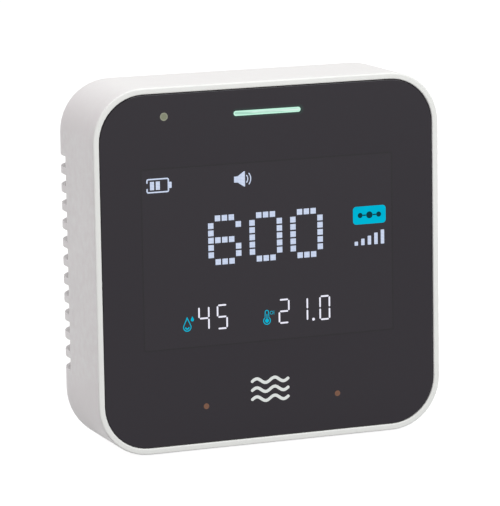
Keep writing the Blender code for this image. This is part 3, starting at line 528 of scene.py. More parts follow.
plastics = {
    "white_plastic": dict(colour=(0.806, 0.775, 0.782), shade=(0.798, 0.767, 0.774), worn=(0.84, 0.83, 0.83),
                          rough=0.44, grain=6500.0, uneven=60.0, wearSpread=0.06, dust=0.015,
                          polish=0.08, bumpDepth=0.00002, bump=0.16),
    "black_plastic": dict(colour=(0.016, 0.016, 0.018), shade=(0.022, 0.022, 0.024), worn=(0.06, 0.06, 0.06),
                          rough=0.52, grain=4200.0, uneven=160.0, wearSpread=0.05, dust=0.10,
                          polish=0.15, bumpDepth=0.00004, bump=0.40),
    "black_film": dict(colour=(0.008, 0.008, 0.009), shade=(0.011, 0.011, 0.012), worn=(0.03, 0.03, 0.03),
                       rough=0.35, grain=6000.0, uneven=90.0, wearSpread=0.05, dust=0.05,
                       polish=0.05, bumpDepth=0.00001, bump=0.20),
    "black_foam": dict(colour=(0.020, 0.020, 0.020), shade=(0.034, 0.034, 0.034), worn=(0.07, 0.07, 0.07),
                       rough=0.93, grain=2600.0, uneven=500.0, wearSpread=0.08, dust=0.20,
                       polish=0.0, bumpDepth=0.00015, bump=0.90),
    "black_rubber": dict(colour=(0.030, 0.030, 0.031), shade=(0.042, 0.042, 0.043), worn=(0.10, 0.10, 0.10),
                         rough=0.78, grain=3200.0, uneven=240.0, wearSpread=0.06, dust=0.25,
                         polish=0.12, bumpDepth=0.00006, bump=0.50),
    "button_plastic": dict(colour=(0.40, 0.40, 0.405), shade=(0.37, 0.37, 0.375), worn=(0.52, 0.52, 0.52),
                           rough=0.38, grain=5200.0, uneven=260.0, wearSpread=0.05, dust=0.06,
                           polish=0.12, bumpDepth=0.00003, bump=0.35),
    "white_component": dict(colour=(0.72, 0.71, 0.67), shade=(0.66, 0.65, 0.61), worn=(0.80, 0.80, 0.77),
                            rough=0.45, grain=4800.0, uneven=260.0, wearSpread=0.05, dust=0.08,
                            polish=0.08, bumpDepth=0.00003, bump=0.35),
    "led_body": dict(colour=(0.72, 0.66, 0.40), shade=(0.66, 0.58, 0.32), worn=(0.84, 0.80, 0.62),
                     rough=0.22, grain=7000.0, uneven=900.0, wearSpread=0.05, dust=0.04,
                     polish=0.05, bumpDepth=0.00001, bump=0.25),
    "print_grey": dict(colour=(0.52, 0.53, 0.55), shade=(0.47, 0.48, 0.50), worn=(0.60, 0.60, 0.60),
                       rough=0.42, grain=7000.0, uneven=700.0, wearSpread=0.05, dust=0.03,
                       polish=0.05, bumpDepth=0.00001, bump=0.30),
}
lights = {
    "display_white": dict(colour=(0.02, 0.02, 0.022), rough=0.05, grain=900.0, uneven=300.0,
                          glow=(0.70, 0.77, 0.93), glowShade=(0.62, 0.70, 0.89),
                          cell=0.397, cellLine=(0.36, 0.44, 0.62)),
    "segment_white": dict(colour=(0.02, 0.02, 0.022), rough=0.05, grain=900.0, uneven=300.0,
                          glow=(0.86, 0.86, 0.96), glowShade=(0.78, 0.78, 0.90)),
    # the air sign is a grey print; this glow on it is painted light, not a lamp
    "mark_white": dict(colour=(0.30, 0.30, 0.30), rough=0.12, grain=900.0, uneven=300.0,
                       glow=(0.42, 0.44, 0.43), glowShade=(0.38, 0.40, 0.39)),
    "display_cyan": dict(colour=(0.0, 0.03, 0.04), rough=0.05, grain=900.0, uneven=220.0,
                         glow=(0.0, 0.47, 0.67), glowShade=(0.0, 0.40, 0.58), shine=0.0),
    "badge_ink": dict(colour=(0.002, 0.010, 0.012), rough=0.05, grain=900.0, uneven=300.0,
                      glow=(0.004, 0.036, 0.046), glowShade=(0.003, 0.030, 0.040), shine=0.0),
    "amber_light": dict(colour=(0.06, 0.02, 0.01), rough=0.06, grain=900.0, uneven=900.0,
                        glow=(0.100, 0.034, 0.009), glowShade=(0.078, 0.026, 0.007)),
}
metals = {
    "bright_steel": dict(colour=(0.62, 0.61, 0.60), shade=(0.52, 0.51, 0.50), worn=(0.75, 0.75, 0.74),
                         rough=0.28, metal=1.0, lines=5200.0, bumpDepth=0.00002, bump=0.35),
}

finishes = {name: mouldedFinish(name, values) for name, values in plastics.items()}
finishes.update({name: litFinish(name, values) for name, values in lights.items()})
finishes.update({name: metalFinish(name, values) for name, values in metals.items()})

paneValues = dict(
    colour=(0.0060, 0.0038, 0.0074), rough=0.04, ior=1.395, tint=(0.98, 0.92, 1.0),
    moduleTone=(0.0082, 0.0058, 0.0096), moduleLine=(0.0010, 0.0010, 0.0012),
    module=(-36.7, 36.1, -21.4, 27.9), moduleLineWidth=0.35, moduleCorner=0.4, moduleSoftness=0.3,
    smudge=0.03, barGlow=(0.0, 0.020, 0.011), barGlowReach=0.8, barGlowCorner=0.7)


def windowFinish(values):
    # black-tinted sheet: a faint outline of the display module, and a glow round the light bar
    finish, tree, shader, coords = startFinish("tinted_window", values)
    left, right, low, high = [number * mm for number in values["module"]]
    place = dict(Middle_X=(left + right) / 2, Middle_Z=paneMiddle.z + (low + high) / 2,
                 Corner=values["moduleCorner"] * mm, Softness=values["moduleSoftness"] * mm)
    outer = useGroup(tree, "boxMask", coords, Half_Width=(right - left) / 2,
                     Half_Height=(high - low) / 2, **place)
    line = values["moduleLineWidth"] * mm
    inner = useGroup(tree, "boxMask", coords, Half_Width=(right - left) / 2 - line,
                     Half_Height=(high - low) / 2 - line, **place)
    base = mixColour(tree, outer.outputs["Mask"], values["colour"], values["moduleLine"])
    base = mixColour(tree, inner.outputs["Mask"], base, values["moduleTone"])
    tree.links.new(base, shader.inputs["Base Color"])
    bar, half = boxOf("status_light_bar")
    halo = useGroup(tree, "boxMask", coords, Middle_X=bar.x, Middle_Z=bar.z, Half_Width=half.x,
                    Half_Height=half.z - 0.1 * mm, Corner=values["barGlowCorner"] * mm,
                    Softness=values["barGlowReach"] * mm)
    glow = mixColour(tree, halo.outputs["Mask"], (0.0, 0.0, 0.0), values["barGlow"])
    addGlow(tree, shader, glow)
    film = useGroup(tree, "dustFilm", coords, Patches=45.0)
    smudge = noiseIn(tree, coords, 38.0, 5.0)
    haze = calc(tree, "ADD", rangeOf(tree, smudge, 0.5, 0.8, 0.0, values["smudge"]),
                calc(tree, "MULTIPLY", film.outputs["Mask"], 0.02))
    tree.links.new(calc(tree, "ADD", haze, values["rough"]), shader.inputs["Roughness"])
    return finish


barValues = dict(colour=(0.02, 0.05, 0.035), rough=0.05, glow=(0.20, 0.50, 0.36),
                 streak=(0.66, 0.84, 0.77), edgeGlow=(0.50, 0.84, 0.68), edgeWidth=0.22,
                 thin=0.80, trim=0.12, shift=-0.28)


def barFinish(values):
    # lit bar: pale streaks along its middle, and greener at its edge
    finish, tree, shader, coords = startFinish("green_light", values)
    bar, half = boxOf("status_light_bar")
    edge = values["edgeWidth"] * mm
    core = useGroup(tree, "boxMask", coords, Middle_X=bar.x + values["shift"] * mm, Middle_Z=bar.z,
                    Half_Width=half.x - values["trim"] * mm - 2 * edge,
                    Half_Height=half.z * values["thin"] - 2 * edge, Corner=0.2 * mm, Softness=edge)
    streaks = useGroup(tree, "brushedLines", coords, Lines=2600.0)
    middle = mixColour(tree, streaks.outputs["Tone"], values["glow"], values["streak"])
    glow = mixColour(tree, core.outputs["Mask"], values["edgeGlow"], middle)
    addGlow(tree, shader, glow)
    return finish


eyeValues = dict(colour=(0.26, 0.26, 0.19), rough=0.08, inner=(0.20, 0.205, 0.13), innerShare=0.62)


def eyeFinish(values):
    # light guide: paler rim round a darker middle
    finish, tree, shader, coords = startFinish("sensor_eye", values)
    middle, half = boxOf("light_sensor_pipe")
    radius = half.x * values["innerShare"]
    core = useGroup(tree, "boxMask", coords, Middle_X=middle.x, Middle_Z=middle.z,
                    Half_Width=radius, Half_Height=radius, Corner=radius, Softness=0.2 * mm)
    tone = mixColour(tree, core.outputs["Mask"], values["colour"], values["inner"])
    tree.links.new(tone, shader.inputs["Base Color"])
    return finish


boardValues = dict(colour=(0.018, 0.105, 0.045), rough=0.30, mask=(0.030, 0.155, 0.070),
                   pad=(0.72, 0.70, 0.62), trackScale=260.0, padScale=330.0)


def boardFinish(values):
    # solder mask over copper tracks, with tinned pads
    finish, tree, shader, coords = startFinish("circuit_board", values)
    track = tree.nodes.new("ShaderNodeTexBrick")
    track.inputs["Scale"].default_value = values["trackScale"]
    track.inputs["Mortar Size"].default_value = 0.06
    turn = tree.nodes.new("ShaderNodeMapping")
    turn.inputs["Rotation"].default_value = (math.radians(90), 0, 0)
    tree.links.new(coords, turn.inputs["Vector"])
    tree.links.new(turn.outputs["Vector"], track.inputs["Vector"])
    pads = tree.nodes.new("ShaderNodeTexVoronoi")
    pads.inputs["Scale"].default_value = values["padScale"]
    pads.inputs["Randomness"].default_value = 0.35
    tree.links.new(coords, pads.inputs["Vector"])
    patch = rangeOf(tree, noiseIn(tree, coords, 90.0, 2.0), 0.56, 0.60)
    dot = calc(tree, "MULTIPLY", calc(tree, "LESS_THAN", pads.outputs["Distance"], 0.26), patch)
    base = mixColour(tree, track.outputs["Fac"], values["mask"], values["colour"])
    tree.links.new(mixColour(tree, dot, base, values["pad"]), shader.inputs["Base Color"])
    tree.links.new(calc(tree, "MULTIPLY", dot, 0.9), shader.inputs["Metallic"])
    addBump(tree, shader, calc(tree, "ADD", track.outputs["Fac"], dot), 0.00004, 0.4)
    return finish


foilValues = dict(colour=(0.62, 0.62, 0.64), rough=0.34, metal=1.0, shade=(0.50, 0.50, 0.52), crease=160.0)


def foilFinish(values):
    # laminated pouch with soft creases
    finish, tree, shader, coords = startFinish("battery_foil", values)
    crease = noiseIn(tree, coords, values["crease"], 6.0, 0.65)
    tone = mixColour(tree, rangeOf(tree, crease, 0.4, 0.6), values["colour"], values["shade"])
    tree.links.new(tone, shader.inputs["Base Color"])
    tree.links.new(rangeOf(tree, crease, 0.3, 0.7, 0.24, 0.42), shader.inputs["Roughness"])
    addBump(tree, shader, crease, 0.0006, 0.5)
    return finish


finishes["tinted_window"] = windowFinish(paneValues)
finishes["green_light"] = barFinish(barValues)
finishes["sensor_eye"] = eyeFinish(eyeValues)
finishes["circuit_board"] = boardFinish(boardValues)
finishes["battery_foil"] = foilFinish(foilValues)
print("finishes made:", len(finishes))


# housing shell with its rim and ventilation slots

housingValues = dict(
    corner=14.3, rim=1.75, rimBead=0.35, frontEdge=0.5, rearFillet=12.0, filletSteps=14,
    ventPitch=5.07, ventOpening=3.1, ventCount=12, ventFront=23.5, ventReach=10.0,
    innerFillet=8.5, cavityBack=34.0, recessDepth=2.3, recessHalf=(37.0, 36.8), recessCorner=4.3,
    openingHalf=(33.0, 32.8), openingCorner=16.0, cornerSteps=12, slotEdge=0.12)


def housingRing(halfWidth, halfHeight, corner, depth, stops, steps):
    # one ring; the side points stand at the slots' edges while the side is long enough
    straight = halfHeight - corner
    squeeze = min(1.0, straight * 0.97 / max(stops))
    side = [(halfWidth, stop * squeeze) for stop in stops]
    wide = halfWidth - corner
    points = side + arcPoints(wide, straight, corner, 0, 90, steps)
    points += arcPoints(-wide, straight, corner, 90, 180, steps)
    points += [(-x, z) for x, z in reversed(side)]
    points += arcPoints(-wide, -straight, corner, 180, 270, steps)
    points += arcPoints(wide, -straight, corner, 270, 360, steps)
    return [(x, caseLow.y + depth, caseMiddle.z + z) for x, z in points]


def ventStops(values):
    # heights of the slots' edges, from the middle of the housing
    first = -(values["ventCount"] - 1) * values["ventPitch"] / 2
    middles = [first + number * values["ventPitch"] for number in range(values["ventCount"])]
    half = values["ventOpening"] / 2
    return [(middle + side) * mm for middle in middles for side in (-half, half)]


def housingRows(values, stops):
    # rings from the lip beside the window, over the outside, and back along the inside
    size = {name: value * mm for name, value in values.items() if isinstance(value, float)}
    halfWidth = (caseHigh.x - caseLow.x) / 2
    halfHeight = (caseHigh.z - caseLow.z) / 2
    thick = caseHigh.y - caseLow.y
    steps = values["cornerSteps"]

    def ring(inset, depth):
        corner = size["corner"] - inset
        return housingRing(halfWidth - inset, halfHeight - inset, corner, depth, stops, steps)

    def ringBy(half, corner, depth):
        return housingRing(half[0] * mm, half[1] * mm, corner, depth, stops, steps)

    rows = []
    bead = size["rimBead"]
    for step in range(5):  # rounded lip beside the window
        turn = math.radians(90 * step / 4)
        rows.append(ring(size["rim"] - bead * (1 - math.cos(turn)), bead * (1 - math.sin(turn))))
    rows += [ring(inset, depth) for inset, depth in roundEdge(size["frontEdge"], 4)]
    fillet = size["rearFillet"]
    endTurn = math.acos((fillet - size["ventReach"]) / fillet)
    slotStart = len(rows)
    rows.append(ring(0, size["ventFront"]))
    for step in range(values["filletSteps"] + 1):  # rounded rear edge, as far as the slots run
        turn = endTurn * step / values["filletSteps"]
        rows.append(ring(fillet * (1 - math.cos(turn)), thick - fillet * (1 - math.sin(turn))))
    slotEnd = len(rows) - 1
    rows.append(ring(fillet * 0.93, thick - fillet * (1 - math.sin(math.acos(0.07)))))
    rows.append(ring(fillet, thick))
    recess = thick - size["recessDepth"]
    rows.append(ringBy(values["recessHalf"], size["recessCorner"], thick))
    rows.append(ringBy(values["recessHalf"], size["recessCorner"], recess))
    rows.append(ringBy(values["openingHalf"], size["openingCorner"], recess))
    rows.append(ringBy(values["openingHalf"], size["openingCorner"], size["cavityBack"]))
    inner = size["innerFillet"]
    wall = size["rim"]
    back = size["cavityBack"]
    endTurn = math.acos((inner - size["ventReach"] + wall) / inner)
    rows.append(ring(wall + inner, back))
    innerEnd = len(rows)
    for step in range(values["filletSteps"], -1, -1):
        turn = endTurn * step / values["filletSteps"]
        rows.append(ring(wall + inner * (1 - math.cos(turn)), back - inner * (1 - math.sin(turn))))
    rows.append(ring(wall, size["ventFront"]))
    return rows, (slotStart, slotEnd), (innerEnd, len(rows) - 1)


def cutSlots(shape, rings, slots, outerRows, innerRows):
    # opens each slot through both skins, and gives it its walls
    doomed = []
    for low, high in (outerRows, innerRows):
        for row in range(low, high):
            near = rings[row]
            far = rings[row + 1]
            for slot in slots:
                corners = {near[slot], near[slot + 1], far[slot], far[slot + 1]}
                doomed.append(next(f for f in near[slot].link_faces if set(f.verts) == corners))
    bmesh.ops.delete(shape, geom=doomed, context="FACES")
    slotStart, slotEnd = outerRows
    innerEnd, innerStart = innerRows
    for slot in slots:
        for step in range(slotEnd - slotStart):  # the two long walls of each slot
            outer = (rings[slotStart + step], rings[slotStart + step + 1])
            within = (rings[innerStart - step], rings[innerStart - step - 1])
            for point in (slot, slot + 1):
                shape.faces.new((outer[0][point], outer[1][point], within[1][point], within[0][point]))
        for outerRow, innerRow in ((slotStart, innerStart), (slotEnd, innerEnd)):
            outer = rings[outerRow]
            within = rings[innerRow]
            shape.faces.new((outer[slot], outer[slot + 1], within[slot + 1], within[slot]))


def makeHousing(values):
    stops = ventStops(values)
    rows, outerRows, innerRows = housingRows(values, stops)
    shape, rings = loftShape(rows, closed=True)
    firstLeft = len(stops) + 2 * (values["cornerSteps"] + 1)
    slots = [first + 2 * number for first in (0, firstLeft) for number in range(values["ventCount"])]
    cutSlots(shape, rings, slots, outerRows, innerRows)
    shell = finishShape("housingShell", shape, finishes["white_plastic"])
    return softenEdges(shell, values["slotEdge"] * mm, 2, 38)


housingShell = fitPiece(makeHousing(housingValues), ["housing"])
print("housing shell:", len(housingShell.data.polygons), "faces")


# front window

windowValues = dict(corner=12.4, edge=0.22, edgeSteps=3, cornerSteps=14)


def makeWindow(values):
    halfWidth = (paneHigh.x - paneLow.x) / 2
    halfHeight = (paneHigh.z - paneLow.z) / 2
    edge = values["edge"] * mm
    insets = roundEdge(edge, values["edgeSteps"])
    sides = [(inset, paneLow.y + depth) for inset, depth in insets]
    sides += [(inset, paneHigh.y - depth) for inset, depth in reversed(insets)]
    rows = []
    for inset, y in sides:
        corner = values["corner"] * mm - inset
        rows.append(ringAt(paneMiddle.x, paneMiddle.z, halfWidth - inset, halfHeight - inset,
                           corner, y, values["cornerSteps"]))
    shape = loftShape(rows)[0]
    return keepFlats(finishShape("windowPane", shape, finishes["tinted_window"], 60))


windowPane = fitPiece(makeWindow(windowValues), ["window"])
print("window made")


# what is lit or printed on the window, in millimetres from its middle

figureValues = dict(thick=0.04, sunk=0.002)
figureFront = paneLow.y - (figureValues["thick"] / 2 - figureValues["sunk"]) * mm
figurePlace = facingFront(figureFront, paneMiddle.z) @ Matrix.Diagonal((mm, mm, mm, 1))


def figurePiece(name, slotName, outlines, finish=None, lift=0.0):
    # outlines are lists of loops, the first solid and the others holes in it
    meshes = [sheetMesh(loops, figureValues["thick"]) for loops in outlines]
    place = Matrix.Translation((0, -lift * mm, 0)) @ figurePlace
    piece = pieceOf(name, meshes, finishes[finish or slotName], place, 30)
    return fitPiece(piece)


digitShapes = {
    "6": (".###.", "#...#", "#....", "####.", "#...#", "#...#", ".###."),
    "0": (".###.", "#...#", "#...#", "#...#", "#...#", "#...#", ".###."),
}
readingValues = dict(reading="600", lefts=(-17.1, -5.18, 6.73), top=13.35, pitch=1.986, dot=1.56)


def newRepeatTree(name, wanted):
    # tree that sets copies on points and ends as a plain mesh with one finish
    tree = bpy.data.node_groups.new(name, "GeometryNodeTree")
    inputs = (("Geometry", "NodeSocketGeometry"), *wanted, ("Finish", "NodeSocketMaterial"))
    for label, kind in inputs:
        tree.interface.new_socket(label, in_out="INPUT", socket_type=kind)
    tree.interface.new_socket("Geometry", in_out="OUTPUT", socket_type="NodeSocketGeometry")
    given = tree.nodes.new("NodeGroupInput")
    spread = tree.nodes.new("GeometryNodeInstanceOnPoints")
    real = tree.nodes.new("GeometryNodeRealizeInstances")
    paint = tree.nodes.new("GeometryNodeSetMaterial")
    made = tree.nodes.new("NodeGroupOutput")
    tree.links.new(given.outputs["Geometry"], spread.inputs["Points"])
    tree.links.new(spread.outputs["Instances"], real.inputs["Geometry"])
    tree.links.new(real.outputs["Geometry"], paint.inputs["Geometry"])
    tree.links.new(given.outputs["Finish"], paint.inputs["Material"])
    tree.links.new(paint.outputs["Geometry"], made.inputs["Geometry"])
    return tree, given, spread


def dotTree():
    # square lit dots on every point
    wanted = (("Dot Size", "NodeSocketFloat"), ("Dot Thickness", "NodeSocketFloat"))
    tree, given, spread = newRepeatTree("litDots", wanted)
    size = tree.nodes.new("ShaderNodeCombineXYZ")
    cube = tree.nodes.new("GeometryNodeMeshCube")
    for axis, label in zip("XYZ", ("Dot Size", "Dot Thickness", "Dot Size")):
        tree.links.new(given.outputs[label], size.inputs[axis])
    tree.links.new(size.outputs["Vector"], cube.inputs["Size"])
    tree.links.new(cube.outputs["Mesh"], spread.inputs["Instance"])
    return tree


def runTree(name, tree, points, settings):
    # puts the points through a tree and keeps the result as a plain mesh
    data = bpy.data.meshes.new(name)
    data.from_pydata(points, [], [])
    item = showObject(name, data)
    step = item.modifiers.new("repeat", "NODES")
    step.node_group = tree
    for socket in tree.interface.items_tree:
        if socket.in_out == "INPUT" and socket.name in settings:
            step[socket.identifier] = settings[socket.name]
    mesh = keepMesh(item)
    mesh.name = name
    return mesh


def makeReading(values):
    points = []
    for digit, left in zip(values["reading"], values["lefts"]):
        for row, line in enumerate(digitShapes[digit]):
            for column, mark in enumerate(line):
                if mark == "#":
                    x = (left + column * values["pitch"]) * mm
                    z = paneMiddle.z + (values["top"] - row * values["pitch"]) * mm
                    points.append((x, figureFront, z))
    settings = {"Dot Size": values["dot"] * mm, "Dot Thickness": figureValues["thick"] * mm,
                "Finish": finishes["display_white"]}
    mesh = runTree("readingDots", dotTree(), points, settings)
    return showObject("readingDots", mesh)


fitPiece(makeReading(readingValues))

segmentValues = dict(width=0.45, gap=0.36, shorten=0.72, low=-16.83, high=-10.44, point=(12.41, -16.6, 0.4))
segmentLines = {  # each digit's lit strokes on a box one wide and two high
    "a": ((0, 2), (1, 2)), "b": ((1, 2), (1, 1)), "c": ((1, 1), (1, 0)), "d": ((0, 0), (1, 0)),
    "e": ((0, 1), (0, 0)), "f": ((0, 2), (0, 1)), "g": ((0, 1), (1, 1)),
}
segmentDigits = {"0": "abcdef", "1": "bc", "2": "abdeg", "4": "bcfg", "5": "acdfg"}
smallFigures = (  # digit, left and right of its strokes' middles
    ("4", -20.9, -18.1), ("5", -15.56, -12.84), ("2", 2.4, 5.19), ("1", 7.89, 10.64), ("0", 14.41, 17.16))


def segmentLoops(digit, left, right, values):
    width = values["width"]
    gap = (values["gap"] + width / 2) * values["shorten"]
    tall = (values["high"] - values["low"]) / 2
    loops = []
    for stroke in segmentDigits[digit]:
        spots = [(left + (right - left) * x, values["low"] + tall * z) for x, z in segmentLines[stroke]]
        ends = [Vector(spot) for spot in spots]
        along = (ends[1] - ends[0]).normalized() * gap
        loops.append([strokeLoop([ends[0] + along, ends[1] - along], width)])
    return loops


smallLoops = [loop for figure in smallFigures for loop in segmentLoops(*figure, segmentValues)]
smallLoops.append([circleLoop(*segmentValues["point"])])
figurePiece("smallReadings", "display_white", smallLoops, finish="segment_white")

batteryValues = dict(left=-35.0, right=-28.95, low=21.67, high=25.2, corner=0.35, line=0.38, gap=(22.6, 24.3),
                     cap=(-28.45, 23.4, 0.42, 0.85, 0.2), bars=(-33.6, -31.95), bar=(23.43, 0.58, 1.12, 0.08))


def batteryLoops(values):
    # outline with a gap in its left side, a cap, and a bar for each level
    corner = values["corner"]
    left = values["left"] + corner
    right = values["right"] - corner
    low = values["low"] + corner
    high = values["high"] - corner
    line = [(values["left"], values["gap"][1])]
    line += arcPoints(left, high, corner, 180, 90, 3) + arcPoints(right, high, corner, 90, 0, 3)
    line += arcPoints(right, low, corner, 0, -90, 3) + arcPoints(left, low, corner, 270, 180, 3)
    line.append((values["left"], values["gap"][0]))
    loops = [[strokeLoop(line, values["line"])], [roundedBox(*values["cap"], 3)]]
    return loops + [[roundedBox(x, *values["bar"], 2)] for x in values["bars"]]


speakerValues = dict(waves=(1.5, 2.35), waveMiddle=(-7.7, 23.5), waveTurn=38, line=0.28,
                     cone=((-10.15, 22.72), (-9.1, 22.65), (-7.3, 21.45), (-7.0, 21.45), (-7.0, 25.6),
                           (-7.3, 25.6), (-9.1, 24.35), (-10.15, 24.3)))


def speakerLoops(values):
    turn = values["waveTurn"]
    waves = [arcPoints(*values["waveMiddle"], reach, -turn, turn, 8) for reach in values["waves"]]
    return [[list(values["cone"])]] + [[strokeLoop(wave, values["line"])] for wave in waves]


levelValues = dict(left=25.35, low=2.75, pitch=1.95, width=1.0, first=1.1, rise=0.7, count=5, corner=0.12)


def levelLoops(values):
    # plain rising bars under the badge
    loops = []
    for number in range(values["count"]):
        tall = (values["first"] + number * values["rise"]) / 2
        middle = values["left"] + number * values["pitch"]
        bar = roundedBox(middle, values["low"] + tall, values["width"] / 2, tall, values["corner"], 2)
        loops.append([bar])
    return loops


statusLoops = batteryLoops(batteryValues) + speakerLoops(speakerValues) + levelLoops(levelValues)
figurePiece("statusSymbols", "display_white", statusLoops)

dropValues = dict(x=-24.35, outer=(-16.9, -12.85, 1.2), inner=(-16.62, -13.5, 0.96), shine=(-15.72, 0.46),
                  line=0.36, second=(-22.85, -14.2, -12.8, 0.44))


def dropLoop(x, low, high, radius, steps=14):
    # water drop: round below and drawn to a point above
    middle = low + radius
    lean = math.degrees(math.asin(min(0.98, radius / (high - middle))))
    return arcPoints(x, middle, radius, 180 - lean, 360 + lean, steps) + [(x, high)]


def dropLoops(values):
    x = values["x"]
    shine = arcPoints(x, *values["shine"], 195, 345, 6)
    return [[dropLoop(x, *values["outer"]), dropLoop(x, *values["inner"])],
            [strokeLoop(shine, values["line"])], [dropLoop(*values["second"])]]


thermometerValues = dict(x=-1.25, bulb=-15.85, bulbRadius=1.12, top=-13.45, stemRadius=0.60, wall=0.24,
                         filling=0.55, column=(-15.2, -14.1), ring=(0.12, -13.75), ringRadii=(0.48, 0.36),
                         tickEnds=(0.62, 0.95), tickRises=(-0.4, 0.0, 0.4), tick=0.10)


def thermometerLoops(values):
    # stem and bulb with a filled column, and a small ring and scale beside them
    x = values["x"]
    bulb = values["bulb"]
    outline = []
    for inset in (0.0, values["wall"]):
        loop = arcPoints(x, bulb, values["bulbRadius"] - inset, 125, 415, 16)
        outline.append(loop + arcPoints(x, values["top"], values["stemRadius"] - inset, 0, 180, 8))
    loops = [outline, [circleLoop(x, bulb, values["filling"])]]
    loops.append([strokeLoop([(x, z) for z in values["column"]], values["wall"])])
    loops.append([circleLoop(*values["ring"], radius) for radius in values["ringRadii"]])
    for rise in values["tickRises"]:
        tick = [(end, values["ring"][1] + rise) for end in values["tickEnds"]]
        loops.append([strokeLoop(tick, values["tick"])])
    return loops


badgeValues = dict(middle=(29.3, 11.03), half=(4.86, 2.47), corner=0.95, ball=0.95, sideBall=0.72,
                   reach=2.75, rod=(1.15, 1.85), line=0.34)


def badgeLoops(values):
    # plain sign for a gas: three joined balls
    x, z = values["middle"]
    loops = [[circleLoop(x, z, values["ball"], 28)]]
    loops += [[circleLoop(x + side * values["reach"], z, values["sideBall"], 24)] for side in (-1, 1)]
    for side in (-1, 1):
        rod = [(x + side * end, z) for end in values["rod"]]
        loops.append([strokeLoop(rod, values["line"])])
    return loops


blueLoops = dropLoops(dropValues) + thermometerLoops(thermometerValues)
blueLoops.append([roundedBox(*badgeValues["middle"], *badgeValues["half"], badgeValues["corner"], 6)])
figurePiece("blueSymbols", "display_cyan", blueLoops)
figurePiece("badgeSign", "black_film", badgeLoops(badgeValues), finish="badge_ink", lift=0.02)
print("display figures made")


# light bar, sensor eye and touch lights

def onWindow(node):
    # place from the window's middle, and half size
    middle, half = boxInMm(node)
    return (middle.x, middle.z - paneMiddle.z / mm), half


def lightsOnWindow(values):
    place, half = onWindow("status_light_bar")
    tall = half.z * values["thin"]
    bar = roundedBox(values["shift"], place[1], half.x - values["trim"], tall, tall * 0.98, 8)
    figurePiece("lightBar", "green_light", [[bar]])
    place, half = onWindow("light_sensor_pipe")
    figurePiece("sensorEye", "sensor_eye", [[circleLoop(*place, half.x, 32)]])
    dots = []
    for word in ("left", "right"):
        place, half = onWindow("touch_light_pipe_" + word)
        dots.append([circleLoop(*place, half.x, 24)])
    figurePiece("touchDots", "amber_light", dots)


lightsOnWindow(barValues)

waveValues = dict(middle=-0.6, top=-32.3, spacing=2.5, length=10.5, height=0.62, width=0.85, steps=28)


def makeWaveMark(values):
    # plain printed sign for moving air: three wavy lines, given an even painted glow that stands in for light
    loops = []
    for number in range(3):
        rise = values["top"] - number * values["spacing"]
        line = []
        for step in range(values["steps"] + 1):
            share = step / values["steps"]
            x = values["middle"] + (share - 0.5) * values["length"]
            line.append((x, rise + values["height"] * math.sin(share * 4 * math.pi)))
        loops.append([strokeLoop(line, values["width"])])
    return figurePiece("airSymbol", "print_grey", loops, finish="mark_white")


makeWaveMark(waveValues)
print("lights and symbol made")


# rear cover

screwNodes = [f"case_screw_{number}" for number in range(1, 5)]
coverValues = dict(corner=4.0, thick=2.0, edge=0.15, holeGap=0.3, keyRadius=4.2, keySlot=4.2, keyTravel=7.0,
                   screwBore=2.35, boreFloor=1.1, boreLap=0.2, floorThick=0.5, floorHole=1.3,
                   soundHole=0.6, soundRing=2.6, soundCount=6, cradleWall=1.2, cradleGap=0.3, cradleLap=0.5,
                   buttonHole=3.5)


def keyholeLoop(x, z, values):
    half = values["keySlot"] / 2
    lean = math.degrees(math.asin(half / values["keyRadius"]))
    points = arcPoints(x, z, values["keyRadius"], 90 + lean, 450 - lean, 28)
    return points + arcPoints(x, z + values["keyTravel"], half, 0, 180, 12)


def facingBack(depth):
    # a drawing in millimetres; depth is the middle of its thickness, in from the back face
    return facingFront(coverHigh.y - depth * mm, 0) @ Matrix.Diagonal((mm, mm, mm, 1))


def makeCover(values):
    middle, half = boxInMm("rear_cover")
    loops = [roundedBox(middle.x, middle.z, half.x, half.z, values["corner"], 10)]
    for opening in frame["record"]["physics"]["openings"]:
        low, high = [Vector(corner) for corner in opening["box_m"]]
        spot = (low + high) / 2 / mm
        loops.append(keyholeLoop(spot.x, spot.z, values))
    screws = [boxInMm(node)[0] for node in screwNodes]
    loops += [circleLoop(spot.x, spot.z, values["screwBore"], 28) for spot in screws]
    spot, half = boxInMm("usb_socket")
    gap = values["holeGap"]
    loops.append(roundedBox(spot.x, spot.z, half.x + gap, half.z + gap, (half.z + gap) * 0.9, 8))
    spot = boxInMm("switch_plunger")[0]
    loops.append(circleLoop(spot.x, spot.z, values["buttonHole"], 32))
    sound = boxInMm("buzzer")[0]
    loops.append(circleLoop(sound.x, sound.z, values["soundHole"], 12))
    for x, z in arcPoints(sound.x, sound.z, values["soundRing"], 0, 360, values["soundCount"])[:-1]:
        loops.append(circleLoop(x, z, values["soundHole"], 12))
    meshes = [sheetMesh(loops, values["thick"], values["edge"])]
    meshes[0].transform(facingBack(values["thick"] / 2))
    for spot in screws:  # the floor that each screw head sits on
        ring = [circleLoop(spot.x, spot.z, values["screwBore"] + values["boreLap"], 28),
                circleLoop(spot.x, spot.z, values["floorHole"], 20)]
        floor = sheetMesh(ring, values["floorThick"])
        floor.transform(facingBack(values["boreFloor"] + values["floorThick"] / 2))
        meshes.append(floor)
    spot, half = boxInMm("battery")
    gap = values["cradleGap"]
    wall = gap + values["cradleWall"]
    ring = [roundedBox(spot.x, spot.z, half.x + wall, half.z + wall, 0.6, 4),
            roundedBox(spot.x, spot.z, half.x + gap, half.z + gap, 0.4, 4)]
    deep = coverHigh.y / mm - values["thick"] - spot.y + values["cradleLap"]
    cradle = sheetMesh(ring, deep)
    cradle.transform(facingBack(coverHigh.y / mm - spot.y - deep / 2))
    return keepFlats(pieceOf("coverPlate", meshes + [cradle], finishes["white_plastic"]))


coverPlate = fitPiece(makeCover(coverValues), ["rear_cover"])
print("rear cover made:", len(coverPlate.data.polygons), "faces")


# screws and feet, which repeat

